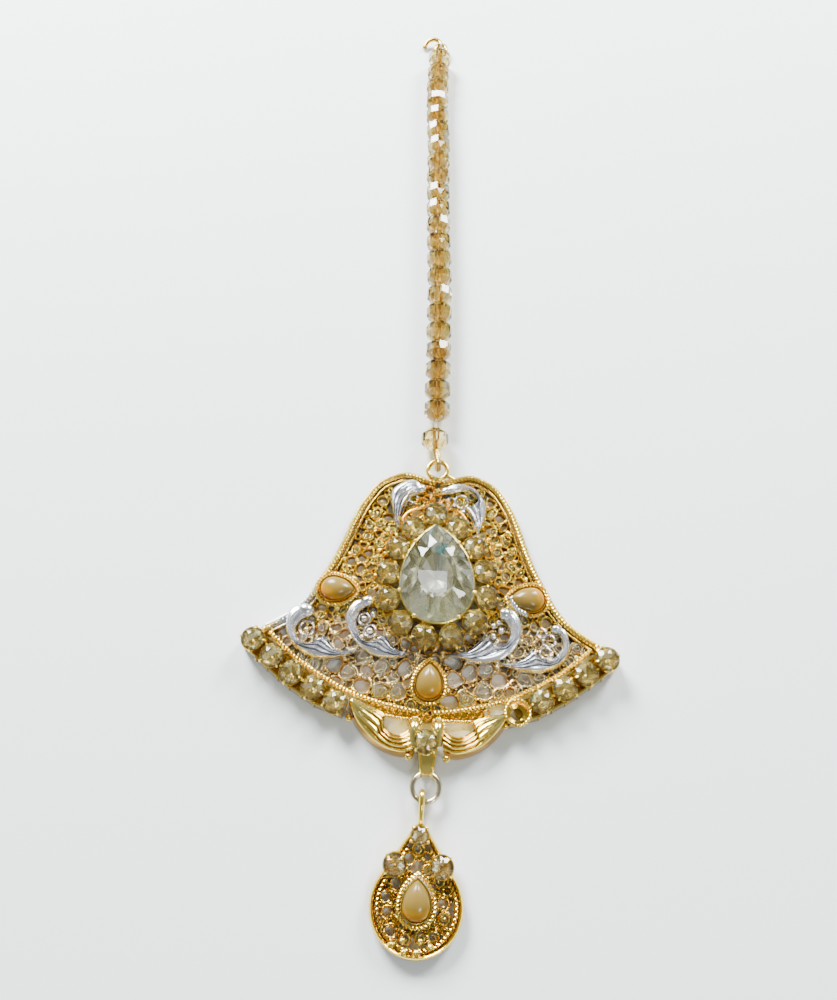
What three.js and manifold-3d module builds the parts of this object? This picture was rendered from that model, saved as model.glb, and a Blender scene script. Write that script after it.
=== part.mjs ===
// A maang tikka lying on its flat back, in millimetres, +Z up.
// The bell-shaped plaque is centred on X = 0 and the hair hook lies towards +Y, the drop towards -Y.
// The origin is on the plaque's back, under the widest line of the pear crystal.
import * as THREE from 'three';
import { mergeVertices } from 'three/addons/utils/BufferGeometryUtils.js';
import Module from 'manifold-3d';

const wasm = await Module();
wasm.setup();

// Clearances
const seatGap = 0.15; // between a stone and the wall of its cup
const culetGap = 0.2; // between a stone's lowest point and the floor of its cup
const linkGap = 0.25; // between two links that hold each other

// Plaque, with its outline and its leaves as shares of the span and the rise
const wingSpan = 23.4; // from the middle line to the outermost edge stone
const plaqueRise = 17.9; // from the origin up to the top of a shoulder
const skirtDrop = 22.6; // from the origin down to the lowest leaf
const plateThickness = 1.2;
const borderInset = 0.85;
const borderWidth = 0.9;
const borderHeight = 1.95;
const flange = 0.25;

// Centre cluster, a second layer soldered on a little off the middle line and turned
const clusterShift = 0.6;
const clusterTurn = 3.7; // degrees, counter-clockwise from above
const crystalHalfWidth = 5.05;
const crystalLength = 14;
const crystalGirdle = 4.1;
const crystalTop = 5.75;
const crystalDepth = 2.4;
const crystalSeatDrop = 0.35; // the collar ends this far below the crystal's girdle
const haloCount = 13;
const haloRadius = 1.6;
const haloSpare = 0.35; // least room between two neighbouring halo stones
const haloMargin = 0.12; // between the crystal's outline and the halo stones, from above
const haloGirdle = 3;
const haloWall = 0.2;

// Round stones along the lower edge, and the one over the bail
const edgeRadius = 1.5;
const edgeSpare = 0.48;
const edgeCount = 5;
const edgeGirdle = 2.75;
const edgeWall = 0.24;
const emptyCup = { side: 1, place: 4 }; // the cup whose stone is lost
const emptyHoleRadius = 0.75;
const bottomRadius = 1.4;
const bottomGirdle = 3.3;
const bottomWall = 0.25;

// Cut and cabochon stones, as shares of their own radius or half width
const tableShare = 0.56;
const culetShare = 0.08; // size of the pear crystal's lowest edge, as a share of its outline
const crownShare = 0.36;
const girdleThickness = 0.12;
const pavilionShare = 0.6;
const cabochonHalfWidth = 1.7;
const cabochonLength = 4.7;
const cabochonBase = 1.55;
const cabochonDome = 1.35;
const cabochonRim = 0.3; // upright edge below the dome
const bezelWall = 0.55;
const bezelHeight = 2.25;

// Leaves
const silverLeafHeight = 2.65;
const goldLeafHeight = 2.75;
const leafRoot = 0.5; // height of a leaf's underside, inside the plate

// Pierced ground
const gapRadius = 0.6;
const gapPitch = 1.95;
const gapWeb = 0.16; // metal left between a gap and what stands on the plate
const windowHalfWidth = 1.35;
const windowHalfHeight = 0.95;

// Granules
const granuleRadius = 0.5;

// Rings, bails, gimp and hook
const topRingShift = -0.2; // from the middle line
const topRingRadius = 1.42;
const topRingWire = 0.33;
const topRingLift = 1.5;
const gimpRadius = 0.42;
const jumpRingRadius = 1.72;
const jumpRingWire = 0.37;
const jumpRingLift = 1.36;
const bailHalfWidth = 1.35;
const bailTaper = 0.35;
const bailStrap = 0.3;
const dropBailWire = 0.36;
const hookWire = 0.38;
const hookEyeRadius = 0.95;
const hookLift = 1.05;
const hookReach = 3; // sideways, from the eye's centre to the tip of the crook
const hookRise = 1.45; // from the eye up to the top of the crook
const threadRadius = 0.22;

// Drop
const dropRadius = 5.68;
const dropTipRadius = 0.95;
const dropHeight = 8.4; // between the centres of the drop's wide circle and its tip circle
const dropThickness = 1.15;
const dropRimWidth = 0.62;
const dropRimHeight = 1.6;
const dropAxis = 0.1;
const dropTopStone = 1.0;
const dropSideStone = 1.3;
const dropSideInset = 0.79; // from the drop's straight flank in to a side stone's centre
const dropSideRise = 2.11; // from the foot of that flank up to it
const dropStoneGirdle = 2.05;
const dropCupWall = 0.22;
const dropGapRadius = 0.45;
const dropGapPitch = 1.45;

// Bead string
const beadRadius = 1.98;
const beadLength = 3.38;
const beadSpacing = 0.08;
const beadShoulder = 0.46; // radius of a bead's flat end, as a share of its radius
const beadWaist = 0.26; // half length of its straight middle, as a share of its length
const beadThread = 0.4;
const beadSides = 10;
const beadCount = 22; // beads that lie close together, above one loose bead
const looseGap = 1.55; // bare thread between the loose bead and the row
const gimpLength = 1.52; // from the top ring's centre to the start of the thread's route
const leadLength = 1.53; // bare thread below the loose bead
const tailLength = 2.04; // thread left over above the row

// The thread's drift sideways from the top ring, at shares of its length
const threadDrift = [
  { x: 0, share: 0 },
  { x: -0.65, share: 0.038 },
  { x: -0.6, share: 0.097 },
  { x: -1.0, share: 0.262 },
  { x: -1.4, share: 0.38 },
  { x: -2.1, share: 0.504 },
  { x: -2.65, share: 0.634 },
  { x: -2.9, share: 0.711 },
  { x: -3.5, share: 0.793 },
  { x: -3.8, share: 0.876 },
  { x: -3.75, share: 0.959 },
  { x: -3.7, share: 1 },
];

const metals = {
  gold: { color: 0xc9982f, metalness: 1, roughness: 0.3 },
  silver: { color: 0xc9ced6, metalness: 1, roughness: 0.25 },
};
const glass = {
  crystal: { color: 0xd9dcc0, metalness: 0, roughness: 0.06 },
  champagne: { color: 0xb9ad6a, metalness: 0, roughness: 0.1 },
  opal: { color: 0xdcb07a, metalness: 0, roughness: 0.2 },
  bead: { color: 0xcfa670, metalness: 0, roughness: 0.15 },
};

const part = new THREE.Group();

function addMesh(name, geometry, finish) {
  const mesh = new THREE.Mesh(geometry, new THREE.MeshStandardMaterial(finish));
  mesh.name = name;
  part.add(mesh);
  return mesh;
}

// Booleans

function solidOf(geometry) {
  const bare = geometry.clone();
  bare.deleteAttribute('normal');
  bare.deleteAttribute('uv');
  const merged = mergeVertices(bare, 1e-4);
  const mesh = new wasm.Mesh({
    numProp: 3,
    vertProperties: new Float32Array(merged.attributes.position.array),
    triVerts: new Uint32Array(merged.index.array),
  });
  return new wasm.Manifold(mesh);
}

function joined(solids) {
  return solids.reduce((whole, next) => whole.add(next));
}

function geometryOf(solid) {
  const mesh = solid.getMesh();
  const geometry = new THREE.BufferGeometry();
  geometry.setAttribute('position', new THREE.BufferAttribute(mesh.vertProperties, 3));
  geometry.setIndex(new THREE.BufferAttribute(mesh.triVerts, 1));
  return geometry;
}

// Outlines and paths

const vector2 = (x, y) => new THREE.Vector2(x, y);
const mirrored = (points) => points.map((p) => vector2(-p.x, p.y)).reverse();

function smoothPath(points) {
  return new THREE.SplineCurve(points);
}

// The same path moved sideways: to its left for a positive distance
function offsetPath(points, distance) {
  return points.map((point, i) => {
    const before = points[Math.max(i - 1, 0)];
    const after = points[Math.min(i + 1, points.length - 1)];
    const along = after.clone().sub(before).normalize();
    return vector2(point.x - along.y * distance, point.y + along.x * distance);
  });
}

// A pear: half a circle below, two longer arcs above that meet in a point at +Y, grown by an offset
function pearPoints(halfWidth, length, offset = 0, steps = 6) {
  const tip = length - halfWidth;
  const longArc = (tip * tip + halfWidth * halfWidth) / (2 * halfWidth);
  const inset = longArc - halfWidth;
  const reach = Math.acos(inset / (longArc + offset));
  const points = [];
  for (let i = 0; i < steps; i++) {
    const angle = (reach * i) / steps;
    points.push(vector2((longArc + offset) * Math.cos(angle) - inset, (longArc + offset) * Math.sin(angle)));
  }
  points.push(vector2(0, (longArc + offset) * Math.sin(reach)));
  for (let i = steps - 1; i >= 0; i--) points.push(vector2(-points[i].x, points[i].y));
  for (let i = 1; i < 2 * steps; i++) {
    const angle = Math.PI + (Math.PI * i) / (2 * steps);
    points.push(vector2((halfWidth + offset) * Math.cos(angle), (halfWidth + offset) * Math.sin(angle)));
  }
  return points;
}

function turned(points, degrees, x, y) {
  const centre = vector2(0, 0);
  const angle = THREE.MathUtils.degToRad(degrees);
  return points.map((p) => p.clone().rotateAround(centre, angle).add(vector2(x, y)));
}

// Solids

function prism(points, low, high, holes = []) {
  const shape = new THREE.Shape(points);
  shape.holes = holes.map((hole) => new THREE.Path(hole));
  const geometry = new THREE.ExtrudeGeometry(shape, { depth: high - low, bevelEnabled: false });
  geometry.translate(0, 0, low);
  return solidOf(geometry);
}

function drum(x, y, radius, low, high, sides = 12) {
  const geometry = new THREE.CylinderGeometry(radius, radius, high - low, sides);
  geometry.rotateX(Math.PI / 2);
  geometry.translate(x, y, (low + high) / 2);
  return solidOf(geometry);
}

// A closed skin over rings of points that all have the same number of points
function loft(rings, closed = false) {
  const sides = rings[0].length;
  const positions = rings.flat().flatMap((p) => [p.x, p.y, p.z]);
  const faces = [];
  const spans = closed ? rings.length : rings.length - 1;
  for (let i = 0; i < spans; i++) {
    const low = i * sides;
    const high = ((i + 1) % rings.length) * sides;
    for (let j = 0; j < sides; j++) {
      const k = (j + 1) % sides;
      faces.push(low + j, low + k, high + k, low + j, high + k, high + j);
    }
  }
  if (!closed) {
    for (const [ring, first, flip] of [[rings[0], 0, true], [rings.at(-1), spans * sides, false]]) {
      const middle = positions.length / 3;
      const centre = ring.reduce((sum, p) => sum.add(p), new THREE.Vector3()).divideScalar(sides);
      positions.push(centre.x, centre.y, centre.z);
      for (let j = 0; j < sides; j++) {
        const k = (j + 1) % sides;
        faces.push(middle, first + (flip ? k : j), first + (flip ? j : k));
      }
    }
  }
  const geometry = new THREE.BufferGeometry();
  geometry.setAttribute('position', new THREE.Float32BufferAttribute(positions, 3));
  geometry.setIndex(faces);
  return geometry;
}

// A round wire along points in space, as rings square to the path
function wireRings(points, radii, sides, closed = false) {
  const count = points.length;
  return points.map((point, i) => {
    const before = points[closed ? (i - 1 + count) % count : Math.max(i - 1, 0)];
    const after = points[closed ? (i + 1) % count : Math.min(i + 1, count - 1)];
    const along = after.clone().sub(before).normalize();
    const side = wireSide(along, closed);
    const up = along.clone().cross(side);
    return Array.from({ length: sides }, (_, j) => {
      const angle = (2 * Math.PI * (j + 0.5)) / sides;
      const radius = Array.isArray(radii) ? radii[i] : radii;
      const across = point.clone().addScaledVector(side, radius * Math.cos(angle));
      return across.addScaledVector(up, radius * Math.sin(angle));
    });
  });
}

// An upright loop turns about X and anything else lies nearly flat
function wireSide(along, upright) {
  if (upright) return new THREE.Vector3(1, 0, 0);
  return new THREE.Vector3(0, 0, 1).cross(along).normalize();
}

function flatRing(x, y, z, radius, wire, segments, sides = 6) {
  const geometry = new THREE.TorusGeometry(radius, wire, sides, segments);
  geometry.translate(x, y, z);
  return geometry;
}

// An upright loop in a plane of constant X, given by its corners in Y and Z
function uprightLoop(x, corners, wire, steps, sides = 6) {
  const curve = new THREE.CatmullRomCurve3(corners.map(([y, z]) => new THREE.Vector3(x, y, z)), true);
  return solidOf(loft(wireRings(curve.getSpacedPoints(steps).slice(0, steps), wire, sides, true), true));
}

// A raised ridge along a path on the plate, its half widths given at even steps along it
function ridge(points, halfWidths, low, top, steps) {
  const path = smoothPath(points);
  const rings = [];
  for (let i = 0; i <= steps; i++) {
    const share = i / steps;
    const place = path.getPointAt(share);
    const along = path.getTangentAt(share);
    const half = shareOf(halfWidths, share);
    const height = low + (top - low) * Math.min(1, 0.35 + half / Math.max(...halfWidths));
    const shoulder = (low + 2 * height) / 3;
    const section = [[1, low], [1, shoulder], [0.5, height], [-0.5, height], [-1, shoulder], [-1, low]];
    rings.push(section.map(([across, z]) => {
      return new THREE.Vector3(place.x - along.y * across * half, place.y + along.x * across * half, z);
    }));
  }
  return solidOf(loft(rings));
}

function shareOf(values, share) {
  const place = share * (values.length - 1);
  const first = Math.min(Math.floor(place), values.length - 2);
  return THREE.MathUtils.lerp(values[first], values[first + 1], place - first);
}

// Stones

function cutStone(radius, girdle, sides = 8) {
  const profile = [
    vector2(0, girdle - radius * pavilionShare),
    vector2(radius, girdle),
    vector2(radius, girdle + girdleThickness),
    vector2(radius * tableShare, girdle + girdleThickness + radius * crownShare),
    vector2(0, girdle + girdleThickness + radius * crownShare),
  ];
  const geometry = new THREE.LatheGeometry(profile, sides);
  geometry.rotateX(Math.PI / 2);
  return geometry;
}

function pearRing(halfWidth, length, offset, z, squeeze = 1, steps = 4) {
  const middle = (length - 2 * halfWidth) / 2;
  return pearPoints(halfWidth, length, offset, steps).map((p) => {
    return new THREE.Vector3(p.x * squeeze, middle + (p.y - middle) * squeeze, z);
  });
}

function pearCrystal() {
  const rings = [
    pearRing(crystalHalfWidth, crystalLength, 0, crystalGirdle - crystalDepth, culetShare),
    pearRing(crystalHalfWidth, crystalLength, 0, crystalGirdle),
    pearRing(crystalHalfWidth, crystalLength, 0, crystalGirdle + girdleThickness),
    pearRing(crystalHalfWidth, crystalLength, 0, (crystalGirdle + crystalTop) / 2 + 0.3, 0.82),
    pearRing(crystalHalfWidth, crystalLength, 0, crystalTop, tableShare),
  ];
  return loft(rings);
}

function cabochon() {
  const rings = [];
  for (const z of [cabochonBase, cabochonBase + cabochonRim]) {
    rings.push(pearRing(cabochonHalfWidth, cabochonLength, 0, z));
  }
  for (const angle of [28, 52, 74]) {
    const turn = THREE.MathUtils.degToRad(angle);
    const z = cabochonBase + cabochonRim + cabochonDome * Math.sin(turn);
    rings.push(pearRing(cabochonHalfWidth, cabochonLength, 0, z, Math.cos(turn)));
  }
  return loft(rings);
}

// Settings: each gives the metal that stands up and the pocket that is cut when all metal is joined

function cupSetting(x, y, stoneRadius, girdle, wall, low = 0) {
  const floor = girdle - stoneRadius * pavilionShare - culetGap;
  return {
    metal: drum(x, y, stoneRadius + seatGap + wall, low, girdle + girdleThickness),
    pocket: drum(x, y, stoneRadius + seatGap, floor, girdle + 3),
  };
}

function pearSetting(halfWidth, length, degrees, x, y, heights, wall) {
  const inner = turned(pearPoints(halfWidth, length, seatGap, 5), degrees, x, y);
  const outer = turned(pearPoints(halfWidth, length, seatGap + wall, 5), degrees, x, y);
  return {
    metal: prism(outer, heights.low, heights.rim),
    pocket: prism(inner, heights.floor, heights.rim + 3),
  };
}

function placed(mesh, x, y, degrees = 0) {
  mesh.position.set(x, y, 0);
  mesh.rotation.z = THREE.MathUtils.degToRad(degrees);
}

// Places on the plaque: x is a share of the span, y of the rise above the origin or of the skirt below it
function spot(row) {
  return vector2(row.x * wingSpan, row.y * (row.y > 0 ? plaqueRise : skirtDrop));
}

// Outline: the right half, then its mirror image

const upperRows = [
  { x: 0, y: 0.939 },
  { x: 0.068, y: 0.956 },
  { x: 0.128, y: 0.983 },
  { x: 0.2, y: 1 },
  { x: 0.286, y: 0.966 },
  { x: 0.374, y: 0.888 },
  { x: 0.453, y: 0.737 },
  { x: 0.509, y: 0.57 },
  { x: 0.553, y: 0.402 },
  { x: 0.607, y: 0.223 },
  { x: 0.671, y: 0.061 },
  { x: 0.735, y: -0.071 },
  { x: 0.82, y: -0.164 },
  { x: 0.915, y: -0.23 },
  { x: 0.966, y: -0.261 },
];
const edgeRows = [
  { x: 1, y: -0.363 },
  { x: 0.889, y: -0.449 },
  { x: 0.771, y: -0.542 },
  { x: 0.641, y: -0.622 },
  { x: 0.502, y: -0.699 },
  { x: 0.38, y: -0.752 },
];
const leafEdgeRows = [
  { x: 0.393, y: -0.827 },
  { x: 0.35, y: -0.885 },
  { x: 0.282, y: -0.938 },
  { x: 0.205, y: -0.973 },
  { x: 0.111, y: -0.996 },
];
const upperEdge = smoothPath(upperRows.map(spot)).getSpacedPoints(34);
const edgeRow = smoothPath(edgeRows.map(spot));
const edgePitch = 2 * edgeRadius + edgeSpare;
const edgeReach = edgeRadius + seatGap + edgeWall + flange;
const edgePlaces = Array.from({ length: edgeCount }, (_, i) => {
  return edgeRow.getPointAt(Math.min(1, (i * edgePitch) / edgeRow.getLength()));
});
const lowerEdge = offsetPath(edgeRow.getSpacedPoints(12), edgeReach).slice(1, -1);
const rightHalf = [...upperEdge, edgePlaces[0].clone(), ...lowerEdge, ...leafEdgeRows.map(spot)];
const plaqueOutline = [...rightHalf, ...mirrored(rightHalf).slice(0, -1)].reverse();

// Raised work on the plaque, drawn on the right and mirrored to the left, with half widths in millimetres

const silverLeaves = [
  {
    path: [
      { x: 0.034, y: 0.86 },
      { x: 0.137, y: 0.894 },
      { x: 0.226, y: 0.855 },
      { x: 0.261, y: 0.777 },
      { x: 0.265, y: 0.67 },
      { x: 0.256, y: 0.559 },
      { x: 0.239, y: 0.464 },
    ],
    halfWidths: [0.35, 0.65, 0.95, 1.15, 0.9, 0.5, 0.12],
  },
  {
    path: [
      { x: 0.7, y: -0.177 },
      { x: 0.76, y: -0.204 },
      { x: 0.774, y: -0.292 },
      { x: 0.731, y: -0.372 },
      { x: 0.654, y: -0.412 },
      { x: 0.556, y: -0.42 },
      { x: 0.474, y: -0.416 },
      { x: 0.406, y: -0.403 },
    ],
    halfWidths: [0.6, 0.85, 0.8, 0.85, 1, 0.85, 0.5, 0.15],
  },
  {
    path: [
      { x: 0.397, y: -0.111 },
      { x: 0.457, y: -0.164 },
      { x: 0.474, y: -0.239 },
      { x: 0.44, y: -0.319 },
      { x: 0.372, y: -0.372 },
      { x: 0.3, y: -0.394 },
      { x: 0.222, y: -0.403 },
      { x: 0.167, y: -0.398 },
      { x: 0.111, y: -0.394 },
    ],
    halfWidths: [0.8, 0.9, 0.8, 0.8, 0.9, 0.8, 0.6, 0.4, 0.12],
  },
];
const goldLeaf = {
  path: [
    { x: 0.406, y: -0.704 },
    { x: 0.344, y: -0.81 },
    { x: 0.256, y: -0.889 },
    { x: 0.184, y: -0.918 },
    { x: 0.107, y: -0.912 },
    { x: 0.064, y: -0.867 },
    { x: 0.062, y: -0.77 },
  ],
  halfWidths: [0.3, 0.75, 1.05, 1.05, 0.8, 0.65, 0.45],
};
const innerLineEnd = [
  { x: 0.22, y: -0.699 },
  { x: 0.12, y: -0.712 },
  { x: 0.03, y: -0.717 },
];
const sideCabochon = { x: 0.581, y: -0.022, turn: 90 };
const bottomCabochon = { x: 0.009, y: -0.575, turn: 0 };
const bottomStone = { x: 0.009, y: -0.894 };
const leafWindow = { x: 0.184, y: -0.819 };
const granuleRows = [
  { x: 0.359, y: -0.208 },
  { x: 0.396, y: -0.232 },
  { x: 0.346, y: -0.263 },
  { x: 0.684, y: -0.279 },
  { x: 0.103, y: -0.971 },
];

// Grid of six-sided gaps over a box, less those too near anything that stands on the plate
function gapCentres(box, pitch, radius, keepOuts, inside) {
  const centres = [];
  const rowPitch = pitch * Math.sqrt(0.75);
  const rows = Math.floor((box.top - box.bottom) / rowPitch);
  const columns = Math.ceil(box.half / pitch) + 1;
  for (let row = 0; row <= rows; row++) {
    for (let column = -columns; column <= columns; column++) {
      const shift = row % 2 === 0 ? 0.5 : 0;
      const centre = vector2(box.x + (column + shift) * pitch, box.top - row * rowPitch);
      const clear = keepOuts.every((keepOut) => {
        return keepOut.points.every((p) => p.distanceTo(centre) > keepOut.reach + radius + gapWeb);
      });
      if (clear && inside(centre)) centres.push(centre);
    }
  }
  return centres;
}

function isInside(polygon, point) {
  let inside = false;
  polygon.forEach((a, i) => {
    const b = polygon[(i + 1) % polygon.length];
    const crosses = a.y > point.y !== b.y > point.y;
    if (crosses && point.x < ((b.x - a.x) * (point.y - a.y)) / (b.y - a.y) + a.x) inside = !inside;
  });
  return inside;
}

function roundHole(centre, halfWidth, halfHeight, sides) {
  return Array.from({ length: sides }, (_, i) => {
    const angle = (2 * Math.PI * (i + 0.5)) / sides;
    return vector2(centre.x + halfWidth * Math.cos(angle), centre.y + halfHeight * Math.sin(angle));
  });
}

// Points at even distances round a closed line, the first of them at the line's highest point
function evenPlaces(points, count) {
  const first = points.reduce((best, p, i) => (p.y > points[best].y ? i : best), 0);
  const line = [...points.slice(first), ...points.slice(0, first + 1)];
  const lengths = line.slice(1).map((p, i) => p.distanceTo(line[i]));
  const total = lengths.reduce((sum, length) => sum + length);
  return Array.from({ length: count }, (_, i) => {
    let left = (total * i) / count;
    let k = 0;
    while (left > lengths[k]) left -= lengths[k++];
    return line[k].clone().lerp(line[k + 1], left / lengths[k]);
  });
}

function bothSides(points) {
  return [points, points.map((p) => vector2(-p.x, p.y))];
}

const metal = [];
const pockets = [];

function addSetting(setting) {
  metal.push(setting.metal);
  pockets.push(setting.pocket);
}

// Centre cluster

const clusterPlace = (points) => turned(points, clusterTurn, clusterShift, 0);
const haloLineAt = (offset) => pearPoints(crystalHalfWidth, crystalLength, offset, 24);
const lineLength = (points) => points.reduce((sum, p, i) => sum + p.distanceTo(points.at(i - 1)), 0);

// The halo stands as near the crystal as its stones have room beside each other
const haloNeed = haloCount * (2 * haloRadius + haloSpare);
const haloBare = lineLength(haloLineAt(0));
const haloGrowth = lineLength(haloLineAt(1)) - haloBare;
const haloOffset = Math.max(haloRadius + haloMargin, (haloNeed - haloBare) / haloGrowth);
const haloPlaces = clusterPlace(evenPlaces(haloLineAt(haloOffset), haloCount));

// The crystal sits in a collar whose hollow follows its underside, standing above the halo
const crystalOutline = clusterPlace(pearPoints(crystalHalfWidth, crystalLength));
metal.push(prism(crystalOutline, leafRoot, crystalGirdle - crystalSeatDrop));
const hollowFloor = crystalGirdle - crystalDepth - culetGap;
const crystalHollow = new THREE.Mesh(loft([
  pearRing(crystalHalfWidth, crystalLength, seatGap, hollowFloor, culetShare + 0.05, 6),
  pearRing(crystalHalfWidth, crystalLength, seatGap, crystalGirdle, 1, 6),
  pearRing(crystalHalfWidth, crystalLength, seatGap, crystalTop + 1, 1, 6),
]));
placed(crystalHollow, clusterShift, 0, clusterTurn);
crystalHollow.updateMatrix();
pockets.push(solidOf(crystalHollow.geometry.applyMatrix4(crystalHollow.matrix)));
placed(addMesh('pear_crystal', pearCrystal(), glass.crystal), clusterShift, 0, clusterTurn);
haloPlaces.forEach((place, i) => {
  addSetting(cupSetting(place.x, place.y, haloRadius, haloGirdle, haloWall, leafRoot));
  const name = `halo_stone_${String(i + 1).padStart(2, '0')}`;
  placed(addMesh(name, cutStone(haloRadius, haloGirdle), glass.champagne), place.x, place.y);
});

// Edge rows

for (const side of [-1, 1]) {
  edgePlaces.forEach((place, i) => {
    const x = side * place.x;
    addSetting(cupSetting(x, place.y, edgeRadius, edgeGirdle, edgeWall));
    if (side === emptyCup.side && i === emptyCup.place) {
      pockets.push(drum(x, place.y, emptyHoleRadius, -1, edgeGirdle, 10));
      return;
    }
    const name = `edge_stone_${side < 0 ? 'left' : 'right'}_${i + 1}`;
    placed(addMesh(name, cutStone(edgeRadius, edgeGirdle), glass.champagne), x, place.y);
  });
}
const bottomPlace = spot(bottomStone);
addSetting(cupSetting(bottomPlace.x, bottomPlace.y, bottomRadius, bottomGirdle, bottomWall, leafRoot));
const bottomMesh = addMesh('bottom_stone', cutStone(bottomRadius, bottomGirdle), glass.champagne);
placed(bottomMesh, bottomPlace.x, bottomPlace.y);

// Cabochons, the side ones lying with their points inwards

const bezelHeights = { low: leafRoot, rim: bezelHeight, floor: cabochonBase - culetGap };
const cabochonPlaces = [
  { name: 'left', x: -sideCabochon.x, y: sideCabochon.y, turn: -sideCabochon.turn },
  { name: 'right', ...sideCabochon },
  { name: 'bottom', ...bottomCabochon },
].map((row) => ({ ...row, place: spot(row) }));
for (const { name, place, turn } of cabochonPlaces) {
  addSetting(pearSetting(cabochonHalfWidth, cabochonLength, turn, place.x, place.y, bezelHeights, bezelWall));
  placed(addMesh(`pear_cabochon_${name}`, cabochon(), glass.opal), place.x, place.y, turn);
}

// Ridges: border, inner line and leaves

const borderLine = offsetPath(upperEdge, -borderInset).slice(1, -1);
const innerLine = [...offsetPath(edgeRow.getSpacedPoints(8), -(edgeRadius + seatGap + 0.4)).slice(0, -1)];
innerLine.push(...innerLineEnd.map(spot));
const borderHalf = borderWidth / 2;
for (const points of bothSides(borderLine)) {
  metal.push(ridge(points, [borderHalf, borderHalf], leafRoot, borderHeight, 30));
}
for (const points of bothSides(innerLine)) {
  metal.push(ridge(points, [borderHalf * 0.8, borderHalf * 0.8], leafRoot, borderHeight - 0.1, 16));
}
for (const leaf of silverLeaves) {
  for (const points of bothSides(leaf.path.map(spot))) {
    metal.push(ridge(points, leaf.halfWidths, leafRoot, silverLeafHeight, 12));
  }
}
for (const points of bothSides(goldLeaf.path.map(spot))) {
  metal.push(ridge(points, goldLeaf.halfWidths, leafRoot, goldLeafHeight, 12));
}

// Granules

function granule(x, y, radius, base) {
  const geometry = new THREE.SphereGeometry(radius, 6, 4);
  geometry.rotateX(Math.PI / 2);
  geometry.translate(x, y, base);
  return solidOf(geometry);
}

for (const { x, y } of bothSides(granuleRows.map(spot)).flat()) {
  metal.push(granule(x, y, granuleRadius, plateThickness));
}

// Pierced plate

const keepOuts = [
  { points: [...borderLine, ...mirrored(borderLine)], reach: borderHalf },
  { points: [...innerLine, ...mirrored(innerLine)], reach: borderHalf * 0.8 },
  { points: haloPlaces, reach: haloRadius + seatGap + haloWall },
  { points: edgePlaces.flatMap((p) => bothSides([p]).flat()), reach: edgeRadius + seatGap + edgeWall },
  { points: plaqueOutline, reach: flange },
  { points: [bottomPlace], reach: bottomRadius + seatGap + bottomWall },
  { points: bothSides([spot(leafWindow)]).flat(), reach: windowHalfWidth },
];
for (const leaf of [...silverLeaves, goldLeaf]) {
  const path = smoothPath(leaf.path.map(spot));
  for (let i = 0; i <= 16; i++) {
    const points = bothSides([path.getPointAt(i / 16)]).flat();
    keepOuts.push({ points, reach: shareOf(leaf.halfWidths, i / 16) });
  }
}
for (const { place, turn } of cabochonPlaces) {
  const points = turned(pearPoints(cabochonHalfWidth, cabochonLength, 0, 6), turn, place.x, place.y);
  keepOuts.push({ points: [...points, place], reach: bezelWall + seatGap });
}
const crystalLine = clusterPlace(pearPoints(crystalHalfWidth, crystalLength, haloOffset, 12));
const onGround = (point) => isInside(plaqueOutline, point) && !isInside(crystalLine, point);
const plateBox = { x: 0, half: wingSpan, top: plaqueRise - 1.2, bottom: -skirtDrop };
const gaps = gapCentres(plateBox, gapPitch, gapRadius, keepOuts, onGround);
const holes = gaps.map((centre) => roundHole(centre, gapRadius, gapRadius, 6));
for (const centre of bothSides([spot(leafWindow)]).flat()) {
  holes.push(roundHole(centre, windowHalfWidth, windowHalfHeight, 10));
}
const holeSolids = holes.map((hole) => prism(hole, -1, plateThickness + 1));
metal.push(prism(plaqueOutline, 0, plateThickness).subtract(joined(holeSolids)));

// Top ring, soldered into the notch between the shoulders

const topRingY = spot(upperRows[0]).y + topRingRadius + 0.05;
metal.push(solidOf(flatRing(topRingShift, topRingY, topRingLift, topRingRadius, topRingWire, 14)));
metal.push(drum(topRingShift, topRingY - topRingRadius - 0.1, 0.75, leafRoot, topRingLift + 0.1, 8));

// Saddle bail: a strap folded over the jump ring, with a tunnel for the ring's wire

const bailX = 0.5;
const jumpRingY = -skirtDrop - 2.9;
const tongueHalf = 0.5;
const tunnelLow = jumpRingLift - jumpRingWire - linkGap;
const tunnelHigh = jumpRingLift + jumpRingWire + linkGap;
const ringInside = jumpRingRadius - jumpRingWire;
const tunnelFront = jumpRingY + Math.sqrt(ringInside ** 2 - tongueHalf ** 2) - linkGap;
const tunnelBack = jumpRingY + jumpRingRadius + jumpRingWire + linkGap;
const shoulderY = tunnelFront + bailStrap;
const bailOutline = [
  { x: -bailHalfWidth, y: -skirtDrop + 1 },
  { x: -bailHalfWidth + bailTaper, y: shoulderY },
  { x: -tongueHalf, y: shoulderY - 0.1 },
  { x: -tongueHalf, y: tunnelFront - bailStrap },
  { x: tongueHalf, y: tunnelFront - bailStrap },
  { x: tongueHalf, y: shoulderY - 0.1 },
  { x: bailHalfWidth - bailTaper, y: shoulderY },
  { x: bailHalfWidth, y: -skirtDrop + 1 },
].map((p) => vector2(bailX + p.x, p.y));
metal.push(prism(bailOutline, tunnelLow - bailStrap, tunnelHigh + bailStrap));
const tunnel = [
  { x: -3, y: tunnelFront },
  { x: 3, y: tunnelFront },
  { x: 3, y: tunnelBack },
  { x: -3, y: tunnelBack },
].map((p) => vector2(bailX + p.x, p.y));
pockets.push(prism(tunnel, tunnelLow, tunnelHigh));

const plaque = joined(metal).subtract(joined(pockets));
addMesh('plaque', geometryOf(plaque), metals.gold);

const jumpRing = flatRing(bailX, jumpRingY, jumpRingLift, jumpRingRadius, jumpRingWire, 16);
addMesh('jump_ring', jumpRing, metals.silver);

// Drop: a pear plate hung from an upright wire bail

const dropLean = Math.asin((dropRadius - dropTipRadius) / dropHeight);

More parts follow.
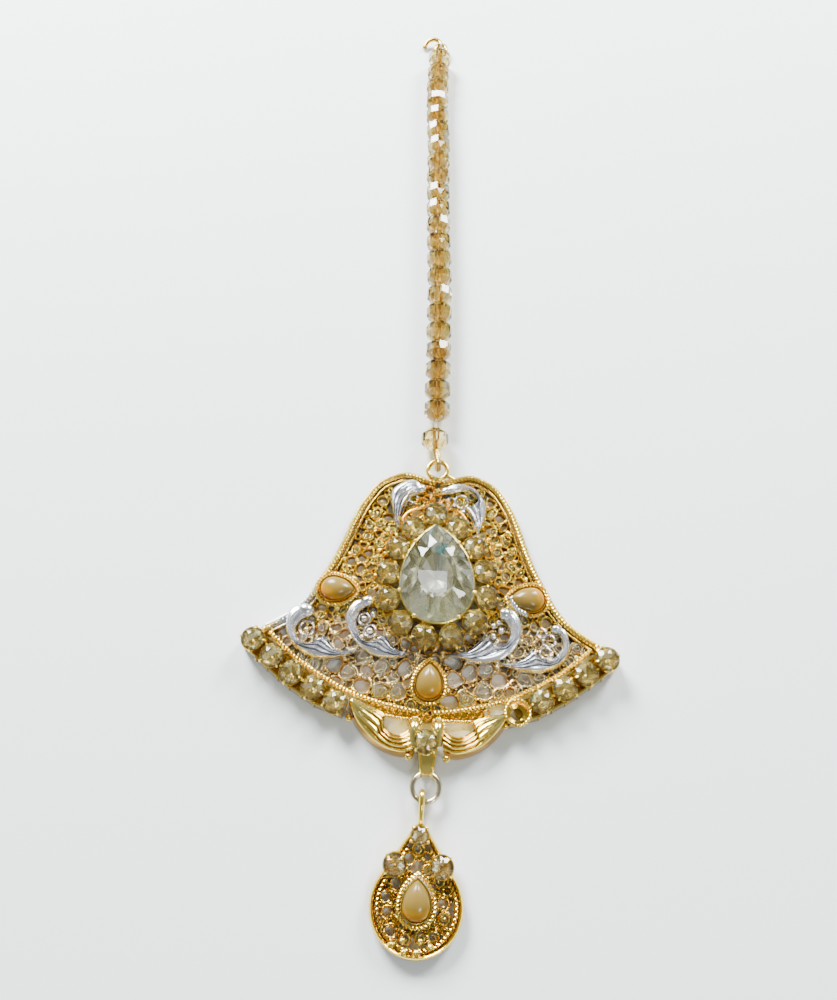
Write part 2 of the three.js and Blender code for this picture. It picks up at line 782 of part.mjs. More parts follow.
function dropOutline(inset, steps = 20) {
  const big = dropRadius - inset;
  const small = dropTipRadius - inset;
  const points = [];
  for (let i = 0; i <= steps; i++) {
    const angle = -Math.PI - dropLean + ((Math.PI + 2 * dropLean) * i) / steps;
    points.push(vector2(big * Math.cos(angle), big * Math.sin(angle)));
  }
  for (let i = 0; i <= 4; i++) {
    const angle = dropLean + ((Math.PI - 2 * dropLean) * i) / 4;
    points.push(vector2(small * Math.cos(angle), dropHeight + small * Math.sin(angle)));
  }
  return points.map((p) => p.add(vector2(dropAxis, dropY)));
}

const loopReach = jumpRingWire + linkGap + dropBailWire;
const loopX = dropAxis;
const crossingY = jumpRingY - Math.sqrt(jumpRingRadius ** 2 - (bailX - loopX) ** 2);
const loopLength = 3.5;
const dropTipY = crossingY + loopReach - loopLength;
const dropY = dropTipY - dropHeight - dropTipRadius;
const dropMetal = [];
const dropPockets = [];
const sideStone = vector2(dropRadius - dropSideInset, dropSideRise).rotateAround(vector2(0, 0), dropLean);
const dropStones = [
  { name: 'top', x: 0, y: dropHeight - dropTopStone / 2, radius: dropTopStone },
  { name: 'left', x: -sideStone.x, y: sideStone.y, radius: dropSideStone },
  { name: 'right', x: sideStone.x, y: sideStone.y, radius: dropSideStone },
];
for (const { name, x, y, radius } of dropStones) {
  const setting = cupSetting(dropAxis + x, dropY + y, radius, dropStoneGirdle, dropCupWall, 0.3);
  dropMetal.push(setting.metal);
  dropPockets.push(setting.pocket);
  const stone = addMesh(`drop_stone_${name}`, cutStone(radius, dropStoneGirdle), glass.champagne);
  placed(stone, dropAxis + x, dropY + y);
}
const dropHeights = { ...bezelHeights, low: 0.3 };
const dropBezel = pearSetting(cabochonHalfWidth, cabochonLength, 0, dropAxis, dropY, dropHeights, bezelWall);
dropMetal.push(dropBezel.metal);
dropPockets.push(dropBezel.pocket);
placed(addMesh('drop_cabochon', cabochon(), glass.opal), dropAxis, dropY);

const rimInner = dropOutline(dropRimWidth).reverse();
dropMetal.push(prism(dropOutline(0), 0.3, dropRimHeight, [rimInner]));
const dropStoneLine = turned(pearPoints(cabochonHalfWidth, cabochonLength), 0, dropAxis, dropY);
const dropKeepOuts = [
  { points: rimInner, reach: 0.1 },
  ...dropStones.map(({ x, y, radius }) => {
    return { points: [vector2(dropAxis + x, dropY + y)], reach: radius + seatGap + dropCupWall };
  }),
  { points: dropStoneLine, reach: bezelWall },
];
const dropBox = { x: dropAxis, half: dropRadius, top: dropY + dropHeight, bottom: dropY - dropRadius };
const insideDrop = (point) => isInside(rimInner, point) && !isInside(dropStoneLine, point);
const dropGaps = gapCentres(dropBox, dropGapPitch, dropGapRadius, dropKeepOuts, insideDrop);
const dropHoles = dropGaps.map((centre) => {
  return prism(roundHole(centre, dropGapRadius, dropGapRadius, 6), -1, dropThickness + 1);
});
dropMetal.push(prism(dropOutline(0), 0, dropThickness).subtract(joined(dropHoles)));
const loopLow = jumpRingLift - loopReach;
const loopHigh = jumpRingLift + loopReach;
const loopEnd = crossingY + loopReach;
dropMetal.push(uprightLoop(loopX, [
  [loopEnd, jumpRingLift],
  [loopEnd - 0.35, loopHigh - 0.12],
  [crossingY, loopHigh],
  [crossingY - 1.1, loopHigh - 0.15],
  [dropTipY + 0.2, jumpRingLift],
  [dropTipY - 0.3, dropThickness * 0.7],
  [dropTipY + 0.4, loopLow + 0.15],
  [crossingY, loopLow],
  [loopEnd - 0.35, loopLow + 0.12],
], dropBailWire, 20));
const drop = joined(dropMetal).subtract(joined(dropPockets));
addMesh('drop_plate', geometryOf(drop), metals.gold);

// Bead string: one strand, its thread and gimp loop fused to it

const beadPitch = beadLength + beadSpacing;
const threadSpan = leadLength + looseGap + (beadCount + 1) * beadPitch + tailLength;
const route = new THREE.CatmullRomCurve3(threadDrift.map(({ x, share }) => {
  const y = topRingY + gimpLength + share * threadSpan;
  return new THREE.Vector3(topRingShift + x, y, beadRadius);
}));
const routeLength = route.getLength();
const beadCentres = [leadLength + beadLength / 2];
const rowStart = beadCentres[0] + beadPitch + looseGap;
for (let i = 0; i < beadCount; i++) beadCentres.push(rowStart + i * beadPitch);
const stations = [{ at: beadCentres[0] - beadLength / 2 - 0.5, radius: beadThread }];
for (const centre of beadCentres) {
  stations.push({ at: centre - beadLength / 2 - beadSpacing / 2, radius: beadThread });
  stations.push({ at: centre - beadLength / 2, radius: beadRadius * beadShoulder });
  stations.push({ at: centre - beadLength * beadWaist, radius: beadRadius });
  stations.push({ at: centre + beadLength * beadWaist, radius: beadRadius });
  stations.push({ at: centre + beadLength / 2, radius: beadRadius * beadShoulder });
}
const lastBead = beadCentres.at(-1);
stations.push({ at: lastBead + beadLength / 2 + beadSpacing / 2, radius: beadThread });
stations.push({ at: lastBead + beadLength / 2 + 0.6, radius: beadThread });
const strand = wireRings(
  stations.map(({ at }) => route.getPointAt(at / routeLength)),
  stations.map(({ radius }) => radius),
  beadSides,
);

const loopStart = route.getPointAt(stations[0].at / routeLength);
const gimpReach = topRingWire + linkGap + gimpRadius;
const ringFar = topRingY + topRingRadius;
const gimpLoop = uprightLoop(topRingShift, [
  [ringFar - gimpReach, topRingLift],
  [ringFar - gimpReach * 0.65, topRingLift + gimpReach * 0.85],
  [ringFar + 0.1, topRingLift + gimpReach],
  [loopStart.y - 0.2, beadRadius + 0.25],
  [loopStart.y + 0.35, beadRadius],
  [loopStart.y - 0.4, beadRadius - 0.7],
  [ringFar + 0.2, topRingLift - gimpReach],
  [ringFar - gimpReach * 0.65, topRingLift - gimpReach * 0.85],
], gimpRadius, 18);

const strandEnd = route.getPointAt(stations.at(-1).at / routeLength);
const eyeReach = hookWire + threadRadius + linkGap * 0.8;
const eyeNear = strandEnd.y + 0.75;
const eyeY = eyeNear + hookEyeRadius;
const threadLoop = uprightLoop(strandEnd.x, [
  [strandEnd.y - 0.4, beadRadius],
  [eyeNear, hookLift + eyeReach],
  [eyeNear + eyeReach * 0.75, hookLift + eyeReach * 0.6],
  [eyeNear + eyeReach * 0.75, hookLift - eyeReach * 0.6],
  [eyeNear, hookLift - eyeReach],
  [strandEnd.y - 0.1, hookLift],
], threadRadius, 14);
addMesh('bead_string', geometryOf(joined([solidOf(loft(strand)), gimpLoop, threadLoop])), glass.bead);

// Hair hook: an eye and a crook that rests on its bent end

const tipDrop = hookLift - hookWire - 0.07; // the crook comes down until it rests
const hookArm = new THREE.CatmullRomCurve3([
  { across: 0, up: 0, down: 0 },
  { across: 0.12, up: 0.62, down: -0.08 },
  { across: 0.47, up: 1, down: 0 },
  { across: 0.83, up: 0.76, down: 0.42 },
  { across: 1, up: 0.07, down: 1 },
].map(({ across, up, down }) => {
  const y = eyeY + hookEyeRadius + up * hookRise;
  return new THREE.Vector3(strandEnd.x - across * hookReach, y, hookLift - down * tipDrop);
}));
const hookTip = hookArm.getPoint(1);
addMesh('hair_hook', geometryOf(joined([
  solidOf(flatRing(strandEnd.x, eyeY, hookLift, hookEyeRadius, hookWire, 12)),
  solidOf(loft(wireRings(hookArm.getSpacedPoints(12), hookWire, 6))),
  granule(hookTip.x, hookTip.y, hookWire * 1.35, hookTip.z + 0.1),
])), metals.gold);

export default part;
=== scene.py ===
import math

import bmesh
import bpy
import numpy as np
from mathutils import Euler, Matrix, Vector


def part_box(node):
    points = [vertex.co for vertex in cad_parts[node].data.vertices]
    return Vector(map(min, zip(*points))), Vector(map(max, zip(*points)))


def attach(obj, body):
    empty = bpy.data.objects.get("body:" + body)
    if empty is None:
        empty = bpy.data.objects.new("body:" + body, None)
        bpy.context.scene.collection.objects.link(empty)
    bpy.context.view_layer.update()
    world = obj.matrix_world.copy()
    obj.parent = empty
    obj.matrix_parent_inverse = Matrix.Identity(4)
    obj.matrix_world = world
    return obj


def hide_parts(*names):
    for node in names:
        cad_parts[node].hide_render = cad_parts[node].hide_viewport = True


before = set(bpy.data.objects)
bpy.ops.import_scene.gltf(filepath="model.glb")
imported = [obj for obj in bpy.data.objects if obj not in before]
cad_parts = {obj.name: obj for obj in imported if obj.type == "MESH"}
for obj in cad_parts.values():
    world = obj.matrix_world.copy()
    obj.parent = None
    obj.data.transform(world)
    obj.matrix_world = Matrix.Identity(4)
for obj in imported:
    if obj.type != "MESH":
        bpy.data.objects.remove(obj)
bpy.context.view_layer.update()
mm = 0.001
chance = np.random.default_rng(11)


# Lines and outlines, all in millimetres

# How far along the line each of its points lies
def walkOf(line):
    return np.concatenate([[0], np.cumsum(np.linalg.norm(np.diff(line, axis=0), axis=1))])


# The points that lie at those distances along the line
def pointsAt(line, walk, at):
    return np.column_stack([np.interp(at, walk, column) for column in line.T])


# A smooth line through the points: Catmull-Rom pieces, walked at even steps of its own length
def evenLine(points, count=None, step=None, closed=False):
    p = np.asarray(points, float)
    if closed:
        a, b, c, d = np.roll(p, 1, 0), p, np.roll(p, -1, 0), np.roll(p, -2, 0)
    else:
        ends = np.vstack([2 * p[0] - p[1], p, 2 * p[-1] - p[-2]])
        a, b, c, d = ends[:-3], ends[1:-2], ends[2:-1], ends[3:]
    u = np.linspace(0, 1, 24, endpoint=False)[None, :, None]
    a, b, c, d = (x[:, None, :] for x in (a, b, c, d))
    fine = 0.5 * (2 * b + (c - a) * u + (2 * a - 5 * b + 4 * c - d) * u**2 + (3 * b - a - 3 * c + d) * u**3)
    fine = np.vstack([fine.reshape(-1, p.shape[1]), p[:1] if closed else p[-1:]])
    walk = walkOf(fine)
    count = count or max(int(round(walk[-1] / step)), 8)
    return pointsAt(fine, walk, np.linspace(0, walk[-1], count, endpoint=not closed))


# The line with a height z for its points
def lifted(line, z):
    line = np.asarray(line, float)
    return np.column_stack([line[:, :2], np.broadcast_to(z, len(line))])


# The line moved sideways in the plane, to its left for a positive distance
def beside(line, distance):
    line = np.asarray(line, float)
    ahead = np.gradient(line, axis=0)[:, :2]
    ahead = ahead / np.linalg.norm(ahead, axis=1, keepdims=True)
    moved = line.copy()
    moved[:, 0] -= ahead[:, 1] * distance
    moved[:, 1] += ahead[:, 0] * distance
    return moved


# The line on the other side: x becomes -x
def mirrored(line):
    return np.asarray(line, float) * np.array([-1, 1, 1][: np.shape(line)[1]])


# Points at one distance from the origin, at the angles
def rays(angle, radius=1.0):
    return radius * np.column_stack([np.cos(angle), np.sin(angle)])


# Points round a circle: its middle plus the radius at even angles
def circle(x, y, radius, count):
    return rays(np.linspace(0, 2 * np.pi, count, endpoint=False), radius) + [x, y]


# Pear: half a circle below and two longer arcs above that meet in a point at +Y
def pearLine(halfWidth, length, offset=0.0, count=48):
    tip = length - halfWidth
    longArc = (tip**2 + halfWidth**2) / (2 * halfWidth)
    inset = longArc - halfWidth
    reach = math.acos(inset / (longArc + offset))
    side = np.linspace(0, reach, 40)
    right = rays(side, longArc + offset) - [inset, 0]
    below = np.linspace(np.pi, 2 * np.pi, 60)[1:-1]
    bottom = rays(below, halfWidth + offset)
    loop = np.vstack([right, mirrored(right)[::-1][1:], bottom, right[:1]])
    walk = walkOf(loop)
    at = np.linspace(0, walk[-1], count, endpoint=False)
    return pointsAt(loop, walk, (at + walk[39]) % walk[-1])  # the first point is the tip


# The line turned about the origin in the plane, then moved by x and y
def turned(line, degrees, x=0.0, y=0.0):
    c, s = math.cos(math.radians(degrees)), math.sin(math.radians(degrees))
    line = np.asarray(line, float)
    moved = line.copy()
    moved[:, 0] = c * line[:, 0] - s * line[:, 1] + x
    moved[:, 1] = s * line[:, 0] + c * line[:, 1] + y
    return moved


# Whether points lie inside a closed line: how often a ray to the right crosses it
def inside(polygon, points):
    a, b = np.asarray(polygon)[None, :, :2], np.roll(np.asarray(polygon)[:, :2], -1, 0)[None]
    x, y = points[:, 0:1], points[:, 1:2]
    crosses = (a[..., 1] > y) != (b[..., 1] > y)
    rise = np.where(b[..., 1] == a[..., 1], 1, b[..., 1] - a[..., 1])
    meets = x < (b[..., 0] - a[..., 0]) * (y - a[..., 1]) / rise + a[..., 0]
    return (crosses & meets).sum(1) % 2 == 1


# How far each point is from the nearest point of the line
def distanceTo(line, points):
    return np.sqrt(((points[:, None, :2] - np.asarray(line)[None, :, :2]) ** 2).sum(2)).min(1)


# Shapes: a pair of arrays, corners and the faces that join them

# The faces of a grid of corners, row by row, joined round its columns
def gridFaces(rows, columns, wrapRows=False, wrapColumns=True):
    i = np.arange(rows if wrapRows else rows - 1)[:, None]
    j = np.arange(columns if wrapColumns else columns - 1)[None]
    low, high = i * columns, (i + 1) % rows * columns
    k = (j + 1) % columns
    return np.stack([low + j, low + k, high + k, high + j], -1).reshape(-1, 4)


# A flat end made of four-sided faces, for a ring of an even number of corners
def endFaces(columns, start, flip):
    j = np.arange(columns // 2 - 1)
    quads = start + np.stack([j, j + 1, columns - 2 - j, columns - 1 - j], 1)
    return quads[:, ::-1] if flip else quads


# Shapes joined into one: corners stacked, faces numbered on from those before them
def merged(shapes):
    starts = np.cumsum([0] + [len(points) for points, _ in shapes[:-1]])
    faces = [face + start for (_, face), start in zip(shapes, starts)]
    return np.vstack([points for points, _ in shapes]), np.vstack(faces)


# Profile of a round wire: a point on its radius in the middle of each of its sides
def roundProfile(radius, sides=8):
    return rays(2 * np.pi * (np.arange(sides) + 0.5) / sides, radius)


# Unit directions at each point: ahead along the path, across it, and up as their cross product
def directions(path, closed=False, side=None):
    ahead = np.roll(path, -1, 0) - np.roll(path, 1, 0) if closed else np.gradient(path, axis=0)
    ahead /= np.linalg.norm(ahead, axis=1, keepdims=True)
    across = np.cross([0, 0, 1], ahead)
    if side is not None:
        across = np.broadcast_to(np.asarray(side, float), path.shape)
    across = across - (across * ahead).sum(1, keepdims=True) * ahead
    across /= np.linalg.norm(across, axis=1, keepdims=True)
    return ahead, across, np.cross(ahead, across)


# A profile carried along a path: path + size * (u * across + v * up), for each u, v of the profile
def sweep(path, profile, closed=False, size=1.0, side=None):
    path = np.asarray(path, float)
    _, across, up = directions(path, closed, side)
    profile = np.asarray(profile, float)
    profile = profile[None] if profile.ndim == 2 else profile
    size = np.broadcast_to(np.asarray(size, float), (len(path),))[:, None, None]
    grid = path[:, None] + size * (profile[..., :1] * across[:, None] + profile[..., 1:] * up[:, None])
    rows, columns = grid.shape[:2]
    faces = gridFaces(rows, columns, closed)
    if not closed:
        last = (rows - 1) * columns
        faces = np.vstack([faces, endFaces(columns, 0, True), endFaces(columns, last, False)])
    return grid.reshape(-1, 3), faces


# A profile of distances across the line and heights, carried along a flat line
def wall(line, profile, closed=False):
    return sweep(lifted(line, 0), profile, closed)


strandOut, strandSize = 0.56, 0.46  # of a twisted wire's radius


# Twisted wire: each strand's centre circles the path once in every lay, half a turn from the next
def rope(line, radius, lay, z=0.0, closed=False, strands=2, sides=6, side=None, steps=10):
    line = np.asarray(line, float)
    line = lifted(line, z) if line.shape[1] == 2 else line
    path = evenLine(line, step=lay / steps, closed=closed)
    _, across, up = directions(path, closed, side)
    turns = len(path) / steps
    turns = round(turns) if closed else turns
    angle = 2 * np.pi * turns * np.arange(len(path)) / len(path)
    shapes = []
    for strand in range(strands):
        a = (angle + 2 * np.pi * strand / strands)[:, None]
        centre = path + radius * strandOut * (np.cos(a) * across + np.sin(a) * up)
        shapes.append(sweep(centre, roundProfile(radius * strandSize, sides), closed, side=side))
    return merged(shapes)


# Plain wire: a round profile carried along a smooth line
def wire(line, radius, z=0.0, closed=False, sides=8, step=0.3, side=None):
    line = np.asarray(line, float)
    line = lifted(line, z) if line.shape[1] == 2 else line
    return sweep(evenLine(line, step=step, closed=closed), roundProfile(radius, sides), closed, side=side)


# A profile of radius and height turned round a point, closed on itself
def turnedRing(x, y, profile, segments=24):
    profile = np.asarray(profile, float)
    angle = 2 * np.pi * np.arange(segments) / segments
    grid = np.empty((segments, len(profile), 3))
    grid[..., 0] = x + profile[None, :, 0] * np.cos(angle)[:, None]
    grid[..., 1] = y + profile[None, :, 0] * np.sin(angle)[:, None]
    grid[..., 2] = profile[None, :, 1]
    return grid.reshape(-1, 3), gridFaces(segments, len(profile), True)


# A ball: the six sides of a cube, each a small grid, pushed out to one distance from the middle
def ballShape(cuts=2):
    u = np.linspace(-1, 1, cuts + 1)
    a, b = np.meshgrid(u, u, indexing="ij")
    one = np.ones_like(a)
    sides = [(a, b, one), (b, a, -one), (one, a, b), (-one, b, a), (b, one, a), (a, -one, b)]
    points = np.concatenate([np.stack(side, -1).reshape(-1, 3) for side in sides])
    faces = [gridFaces(cuts + 1, cuts + 1, False, False) + k * (cuts + 1) ** 2 for k in range(6)]
    points, spot = np.unique(np.round(np.tan(points * np.pi / 4), 6), axis=0, return_inverse=True)
    return points / np.linalg.norm(points, axis=1, keepdims=True), spot.reshape(-1)[np.concatenate(faces)]


# The same shape at many places, each with its own turn about Z and its own size
def copies(shape, places, turns=0.0, sizes=1.0):
    points, faces = shape
    places = np.asarray(places, float)
    n = len(places)
    turns = np.broadcast_to(np.asarray(turns, float), (n,))[:, None]
    sizes = np.asarray(sizes, float)
    sizes = np.broadcast_to(sizes[:, None] if sizes.ndim == 1 else sizes, (n, 3))
    c, s = np.cos(turns), np.sin(turns)
    grown = points[None] * sizes[:, None]
    x = c * grown[..., 0] - s * grown[..., 1]
    y = s * grown[..., 0] + c * grown[..., 1]
    out = np.stack([x, y, grown[..., 2]], -1) + places[:, None]
    starts = (np.arange(n) * len(points))[:, None, None]
    return out.reshape(-1, 3), (faces[None] + starts).reshape(-1, faces.shape[1])


# A layer of a piece: its corners, its groups of faces with the number of their material, and its shading
def layer(shape, material=0, smooth=True):
    return shape[0], [(shape[1], material)], smooth


# Puts the layers into one mesh, in metres, with its faces turned outwards
def makePiece(name, layers, materials, slotName, nodes=(), sharp=50, tone=None):
    start = 0
    faces, materialOf, smoothOf = [], [], []
    for points, groups, smooth in layers:
        for group, material in groups:
            faces += (group + start).tolist()
            materialOf += [material] * len(group)
            smoothOf += [smooth] * len(group)
        start += len(points)
    mesh = bpy.data.meshes.new(name)
    mesh.from_pydata((np.vstack([points for points, _, _ in layers]) * mm).tolist(), [], faces)
    mesh.polygons.foreach_set("material_index", materialOf)
    work = bmesh.new()
    work.from_mesh(mesh)
    bmesh.ops.recalc_face_normals(work, faces=work.faces)
    work.to_mesh(mesh)
    work.free()
    mesh.set_sharp_from_angle(angle=math.radians(sharp))
    mesh.polygons.foreach_set("use_smooth", smoothOf)
    if tone is not None:
        mesh.attributes.new("tone", "FLOAT", "POINT").data.foreach_set("value", tone.astype(np.float32))
    for material in materials:
        mesh.materials.append(material)
    piece = bpy.data.objects.new(name, mesh)
    bpy.context.collection.objects.link(piece)
    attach(piece, "root")
    if nodes:
        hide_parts(*nodes)
    print(name, len(mesh.vertices), "corners")
    return piece


# Shapes joined into one gold piece
def goldPiece(name, shapes, material, node="plaque", **more):
    return makePiece(name, [layer(merged(shapes))], [material], "gold_metal", [node], **more)


# The middle and the two corners of a node's box, in millimetres
def nodeMiddle(node):
    low, high = (np.array(corner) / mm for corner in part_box(node))
    return (low + high) / 2, low, high


# Finishes

# A socket of a material, so that patterns are written as sums
class Wire:
    def __init__(self, finish, socket):
        self.finish = finish
        self.socket = socket

    def math(self, operation, first, second):
        return self.finish.node("Math", {"operation": operation}, {0: first, 1: second})

    def __add__(self, other):
        return self.math("ADD", self, other)

    def __sub__(self, other):
        return self.math("SUBTRACT", self, other)

    def __rsub__(self, other):
        return self.math("SUBTRACT", other, self)

    def __mul__(self, other):
        return self.math("MULTIPLY", self, other)

    __radd__ = __add__
    __rmul__ = __mul__

    def between(self, low, high):
        sockets = {"Value": self, "From Min": low, "From Max": high}
        return self.finish.node("MapRange", {"clamp": True}, sockets)


# A material: one method makes any node, with its settings first and then its sockets
class Finish:
    def __init__(self, name, **sockets):
        self.material = bpy.data.materials.new(name)
        self.material.use_nodes = True
        self.tree = self.material.node_tree
        self.shader = self.tree.nodes["Principled BSDF"]
        self.set(self.shader, sockets)

    def set(self, node, sockets):
        for key, value in sockets.items():
            key = key.replace("_", " ") if isinstance(key, str) else key
            if isinstance(value, Wire):
                self.tree.links.new(value.socket, node.inputs[key])
            else:
                node.inputs[key].default_value = value

    def node(self, kind, settings=None, sockets=None, output=0):
        node = self.tree.nodes.new("ShaderNode" + kind)
        for key, value in (settings or {}).items():
            if key == "stops":
                while len(node.color_ramp.elements) < len(value):
                    node.color_ramp.elements.new(0.5)
                for stop, (place, colour) in zip(node.color_ramp.elements, value):
                    stop.position = place
                    stop.color = (*colour, 1)
            else:
                setattr(node, key, value)
        self.set(node, sockets or {})
        return Wire(self, node.outputs[output])

    def shade(self, **sockets):
        self.set(self.shader, sockets)
        return self.material

    def place(self, axis=None):
        spot = self.node("TexCoord", output=3)
        if axis is None:
            return spot
        return self.node("SeparateXYZ", sockets={0: spot}, output="XYZ".index(axis))

    # A different number for each flat facet, by the direction it faces
    def facet(self, fineness):
        normal = self.node("TexCoord", output=1)
        spot = self.node("VectorMath", {"operation": "SNAP"}, {0: normal, 1: (fineness,) * 3})
        return self.node("TexWhiteNoise", {"noise_dimensions": "3D"}, {"Vector": spot})

    def tone(self):
        return self.node("Attribute", {"attribute_name": "tone"}, output=2)

    def speckle(self, scale, detail=2.0, roughness=0.5):
        sockets = {"Vector": self.place(), "Scale": scale, "Detail": detail, "Roughness": roughness}
        return self.node("TexNoise", None, sockets)

    def ramp(self, value, *stops):
        return self.node("ValToRGB", {"stops": stops}, {0: value})

    def blend(self, share, first, second):
        first = first if isinstance(first, Wire) else (*first, 1)
        second = second if isinstance(second, Wire) else (*second, 1)
        return self.node("Mix", {"data_type": "RGBA"}, {0: share, 6: first, 7: second}, 2)

    def bump(self, height, depth, strength=1.0):
        return self.node("Bump", None, {"Height": height, "Distance": depth, "Strength": strength})


# Gold colours: the recess colour is painted shade low down, and the crest colour is a painted highlight up
# high, between the heights lowAt and highAt
goldLook = {
    "recess": (0.25, 0.12, 0.018), "body": (0.70, 0.44, 0.045), "crest": (1.0, 0.76, 0.14),
    "lowAt": 0.0003, "highAt": 0.0019, "grain": 2600, "rough": 0.19,
}


# Where the plating has worn to silver: a stretch of the left border above the outer leaf
def wornShare(finish):
    across = finish.place("X").between(-0.0155, -0.0172)
    return across * finish.place("Y").between(-0.0068, -0.0052) * finish.place("Y").between(0.0008, -0.0006)


# Gold plate: painted shade makes it dark and orange low down, and a painted highlight makes it bright on the
# crests; a fine cast grain
def goldFinish(name, look, worn=False, **changes):
    look = {**look, **changes}
    finish = Finish(name, Metallic=1.0)
    cloud = finish.speckle(700, 3)
    grain = finish.speckle(look["grain"], 3, 0.65)
    height = finish.place("Z").between(look["lowAt"], look["highAt"]) + (cloud - 0.5) * 0.55
    colour = finish.ramp(height, (0.05, look["recess"]), (0.5, look["body"]), (0.95, look["crest"]))
    return finish.shade(
        Base_Color=finish.blend(wornShare(finish), colour, (0.74, 0.75, 0.77)) if worn else colour,
        Roughness=look["rough"] + (grain - 0.5) * 0.22,
        Normal=finish.bump(grain, 0.00006, 0.5),
    )


# Silver plate: lighter with height and with the piece's tone, both painted light and shade, so it is darker
# low down and in grooves; clouded by noise
def silverFinish(name, dark, light, low, high):
    finish = Finish(name, Metallic=1.0)
    cloud = finish.speckle(900, 3)
    height = finish.place("Z").between(low, high) * 0.5 + finish.tone() * 0.6 + (cloud - 0.5) * 0.3
    return finish.shade(
        Base_Color=finish.ramp(height, (0.15, dark), (0.85, light)),
        Roughness=0.16 + cloud * 0.14,
        Normal=finish.bump(finish.speckle(3000, 2), 0.00004, 0.35),
    )


# Leaf gold: brown in the grooves between the ribs, which is painted shade, and bright on their crests, which
# is a painted highlight, both set by the piece's tone
def leafGoldFinish():
    finish = Finish("leaf_gold", Metallic=1.0)
    cloud = finish.speckle(800, 3)
    share = finish.tone() + (cloud - 0.5) * 0.5
    return finish.shade(
        Base_Color=finish.ramp(share, (0.0, (0.60, 0.29, 0.02)), (0.2, (0.74, 0.40, 0.03)),
                               (0.5, (0.88, 0.58, 0.06)), (0.85, (1.0, 0.82, 0.22))),
        Roughness=0.1 + cloud * 0.12,
        Normal=finish.bump(finish.speckle(2200, 2), 0.00004, 0.4),
    )


# Border edge: dark brown, clouded by noise, and turning silver along the lower left of the rim
def borderFinish():
    finish = Finish("border_edge_plate", Metallic=1.0)
    cloud = finish.speckle(900, 3)
    dark = finish.ramp(cloud, (0.3, (0.16, 0.085, 0.03)), (0.75, (0.42, 0.27, 0.09)))
    colour = finish.blend(wornShare(finish), dark, (0.72, 0.72, 0.74))
    return finish.shade(Base_Color=colour, Roughness=0.28 + cloud * 0.2)


# Openwork wire: gold above, paler and pinker in the band under the leaves; dark low down and bright on the
# crests, which is painted shade and painted highlight
def openworkFinish():
    finish = Finish("openwork_gold", Metallic=1.0)
    cloud = finish.speckle(650, 3)
    grain = finish.speckle(2600, 3, 0.7)
    height = finish.place("Z").between(0.0004, 0.0014) + (cloud - 0.5) * 0.6
    gold = finish.ramp(height, (0.1, (0.26, 0.12, 0.02)), (0.6, (0.66, 0.39, 0.03)),
                       (0.95, (1.0, 0.78, 0.13)))
    pale = finish.ramp(height, (0.1, (0.52, 0.30, 0.15)), (0.6, (0.54, 0.36, 0.14)),
                       (0.95, (0.96, 0.80, 0.42)))
    lowBand = finish.place("Y").between(-0.0015, -0.0065) * finish.place("Y").between(-0.0155, -0.0125)
    patch = (lowBand * (0.35 + cloud)).between(0.25, 0.85)
    return finish.shade(
        Base_Color=finish.blend(patch, gold, pale),
        Roughness=0.24 + (grain - 0.5) * 0.25,
        Normal=finish.bump(grain, 0.00012, 0.8),
    )


# Cut glass over foil: clear above, its tint changing from facet to facet with the direction each faces,
# which is painted light and shade, with a mirror under its facets that changes with their direction
def glassFinish(name, deep, tint):
    finish = Finish(name, Transmission_Weight=1.0, IOR=1.54)
    return finish.shade(
        Base_Color=finish.ramp(finish.facet(0.04), (0.05, deep), (0.5, tint), (0.9, (1.0, 1.0, 0.97))),
        Roughness=finish.speckle(500, 2) * 0.02,
    )


# Foil under a cut stone: its colour changes with the direction that each facet faces, painted light and
# shade from shadow through warm to light, with a painted glint on a few
def foilFinish(name, shadow, warm, light, glint, flash=False):
    finish = Finish(name, Metallic=0.88)
    colour = finish.ramp(finish.facet(0.08), (0.0, shadow), (0.45, warm), (0.88, light), (0.95, glint))
    if flash:  # a kite of cool light below the stone's tip, bluest at its upper end
        x, y = finish.place("X"), finish.place("Y")
        middle = x.between(-0.0001, 0.0004) * x.between(0.0018, 0.0013)
        kite = middle * y.between(0.0006, 0.0014) * y.between(0.0060, 0.0056)
        colour = finish.blend(kite * 0.4, colour, (0.50, 0.62, 0.72))
        colour = finish.blend(kite * y.between(0.0045, 0.0049) * 0.6, colour, (0.05, 0.60, 0.74))
    return finish.shade(Base_Color=colour, Roughness=0.08 + finish.speckle(1500, 2) * 0.1)


# Milky cabochon: pink-tan body that turns to amber towards its lower, outer side
def opalFinish():
    finish = Finish("opal_cabochon", Coat_Weight=0.15, Specular_IOR_Level=0.3, Coat_Roughness=0.03)
    vein = finish.speckle(450, 4, 0.6)
    share = (finish.tone() + (vein - 0.5) * 0.35).between(0.0, 1.0)
    body = finish.ramp(share, (0.0, (0.20, 0.13, 0.025)), (0.3, (0.215, 0.13, 0.012)),
                       (0.5, (0.36, 0.18, 0.002)), (0.75, (0.42, 0.18, 0.0)), (1.0, (0.27, 0.07, 0.0)))
    return finish.shade(Base_Color=body, Roughness=0.2 + vein * 0.1)


# The gold finishes all carry painted shade low down and painted highlights on their crests
gold = goldFinish("gold_with_painted_shade", goldLook)
